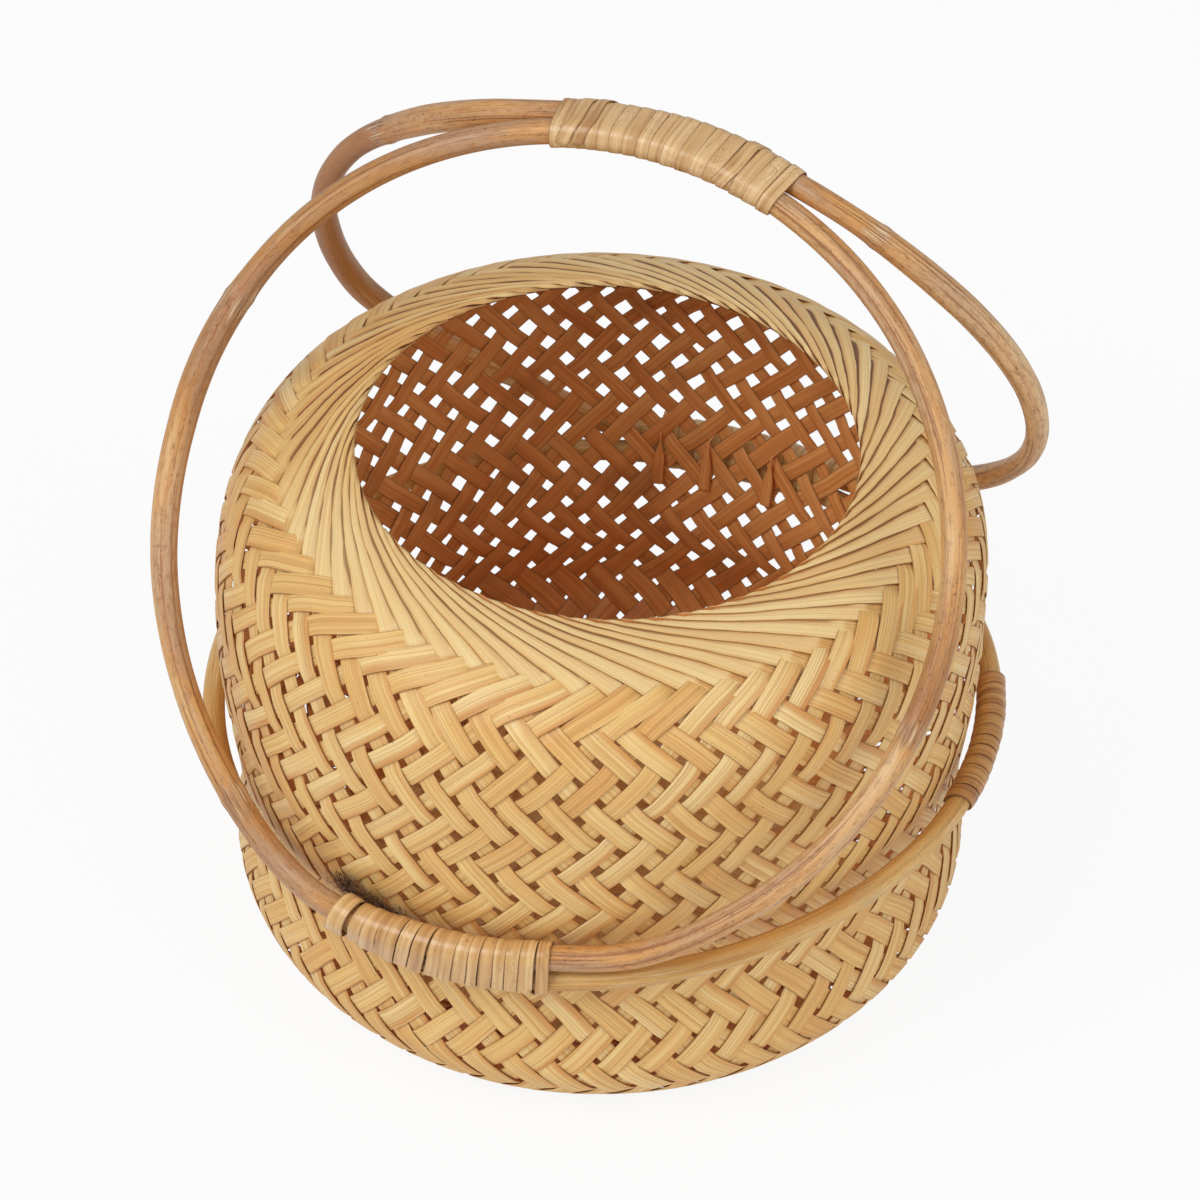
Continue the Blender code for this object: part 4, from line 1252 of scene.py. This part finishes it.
def cane_material(name, pale, middle, dark, blemish_and_edge_shade):
    """Flat split cane: glossy skin with fine lines and blemishes, and painted shade along the edges of
    its turns.
    """
    n = Nodes(name, Coat_Weight=0.35, Coat_Roughness=0.20)
    strand = n.strand()
    fibres = n.noise(*strand, (40, 2300), 3.0, 0.6)
    streaks = n.noise(*strand, (14, 520))
    broad = n.noise(*strand, (28, 60))
    spots = n.noise(*strand, (170, 420), 3.0, 0.7)
    vein = n.grade(n.math('ABSOLUTE', n.math('SUBTRACT', spots, 0.5)), 0.030, 0.0)
    colour = n.ramp(n.total((streaks, 0.55), (broad, 0.45)), (0.36, dark), (0.47, middle), (0.60, pale))
    colour = n.tint(
        colour,
        (n.grade(fibres, 0.54, 0.72), 0.55, dark),
        (n.grade(spots, 0.62, 0.72), 0.70, blemish_and_edge_shade),
        (n.times(vein, n.grade(broad, 0.53, 0.63)), 0.60, blemish_and_edge_shade),
        # Painted shade along the edges of each turn of cane
        (n.grade(n.attribute("side"), 0.08, 0.5), 0.60, blemish_and_edge_shade),
        (n.grade(n.attribute("cover"), 0.78, 0.95), 0.50, blemish_and_edge_shade))
    n.bump(n.total((fibres, 0.6), (streaks, 1.0)), 0.00016)
    return n.finish(colour, n.math('MULTIPLY_ADD', fibres, 0.25, 0.22))


def fibre_material():
    """Dark brown palm fibre."""
    n = Nodes("dark_fibre")
    tone = n.noise(0.0, 0.0, n.strand()[2], (1, 1), 0.0)
    colour = n.ramp(tone, (0.38, (84, 56, 38)), (0.50, (122, 88, 62)), (0.62, (172, 134, 98)))
    return n.finish(colour, 0.55, 0.3)


# Stage


def make_stage():
    mesh = bpy.data.meshes.new("floor")
    size = 6.0
    corners = [(-size, -size, 0), (size, -size, 0), (size, size, 0), (-size, size, 0)]
    mesh.from_pydata(corners, [], [(0, 1, 2, 3)])
    floor = add_object("floor", mesh)
    n = Nodes("floor", Base_Color=linear((246, 246, 246)), Roughness=0.9)
    glow = n.node("Emission", (1, 1, 1, 1), 1.0)
    seen = n.times(n.node("LightPath").outputs["Is Camera Ray"], FLOOR_GLOW)
    blend = n.node("MixShader", seen, n.shader.outputs[0], glow.outputs[0])
    n.plug(n.tree.nodes["Material Output"].inputs["Surface"], blend.outputs[0])
    mesh.materials.append(n.material)


def face(thing, place, aim):
    thing.location = place
    thing.rotation_euler = (Vector(aim) - Vector(place)).to_track_quat('-Z', 'Y').to_euler()


def make_light(name, place, power):
    data = bpy.data.lights.new(name, 'AREA')
    data.shape = 'DISK'
    data.size = LIGHT_SIZE
    data.energy = power
    face(add_object(name, data), place, LIGHT_AIM)


def make_world():
    world = bpy.data.worlds.new("studio")
    world.use_nodes = True
    tree = world.node_tree
    background = tree.nodes["Background"]
    background.inputs["Color"].default_value = (1, 1, 1, 1)
    path = tree.nodes.new("ShaderNodeLightPath")
    strength = tree.nodes.new("ShaderNodeMix")
    strength.inputs[2].default_value = WORLD_LIGHT
    strength.inputs[3].default_value = 1.0
    tree.links.new(path.outputs["Is Camera Ray"], strength.inputs[0])
    tree.links.new(strength.outputs[0], background.inputs["Strength"])
    bpy.context.scene.world = world


def make_camera():
    data = bpy.data.cameras.new("camera")
    data.sensor_width = 36
    data.lens = CAMERA_LENS
    data.clip_start = 0.1
    data.clip_end = 50
    camera = add_object("camera", data)
    face(camera, CAMERA_PLACE, CAMERA_AIM)
    bpy.context.scene.camera = camera


def dress(piece, slot, *nodes):
    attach(piece, "root")
    if nodes:
        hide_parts(*nodes)


def main():
    make_camera()
    bamboo = bamboo_material()
    rattans = {
        "tan_rattan": ((232, 194, 138), (224, 162, 92), (200, 158, 118), 1.0, 0.25),
        "olive_rattan": ((230, 186, 116), (216, 162, 88), (194, 136, 68), 0.45, 0.75),
    }
    rattans = {name: rattan_material(name, *values) for name, values in rattans.items()}
    canes = {
        "grip": ("split_cane", (238, 202, 150), (218, 176, 120), (188, 138, 86), (150, 98, 56)),
        "front": ("front_cane", (238, 200, 140), (218, 170, 108), (186, 134, 78), (146, 98, 58)),
        "lap": ("lap_cane", (220, 164, 94), (196, 136, 70), (154, 98, 48), (112, 66, 34)),
    }
    canes = {place: cane_material(*values) for place, values in canes.items()}
    dress(make_falling_strips(bamboo), "bamboo_strip", "woven_wall", "rim_fan")
    dress(make_rising_strips(bamboo), "bamboo_strip")
    dress(make_base_mat(bamboo), "bamboo_strip")
    for seed, (which, knuckles, tone_and_light_table, slot) in enumerate(HOOPS, 1):
        dress(make_hoop(which, knuckles, tone_and_light_table, seed, rattans[slot]), slot, which + "_hoop")
    for piece, node in make_bindings(canes):
        dress(piece, "split_cane", node)
    for number, piece in enumerate(make_ties(bamboo), 1):
        dress(piece, "split_cane", "rear_tie_%d" % number)
    dress(make_fibre(fibre_material()), "dark_fibre", "fibre_cord")
    make_stage()
    make_world()
    make_light("key", (-0.9, -1.6, 2.2), 30)
    make_light("fill", (1.8, -0.6, 1.6), 12)
    bpy.context.scene.view_settings.view_transform = 'Standard'


main()
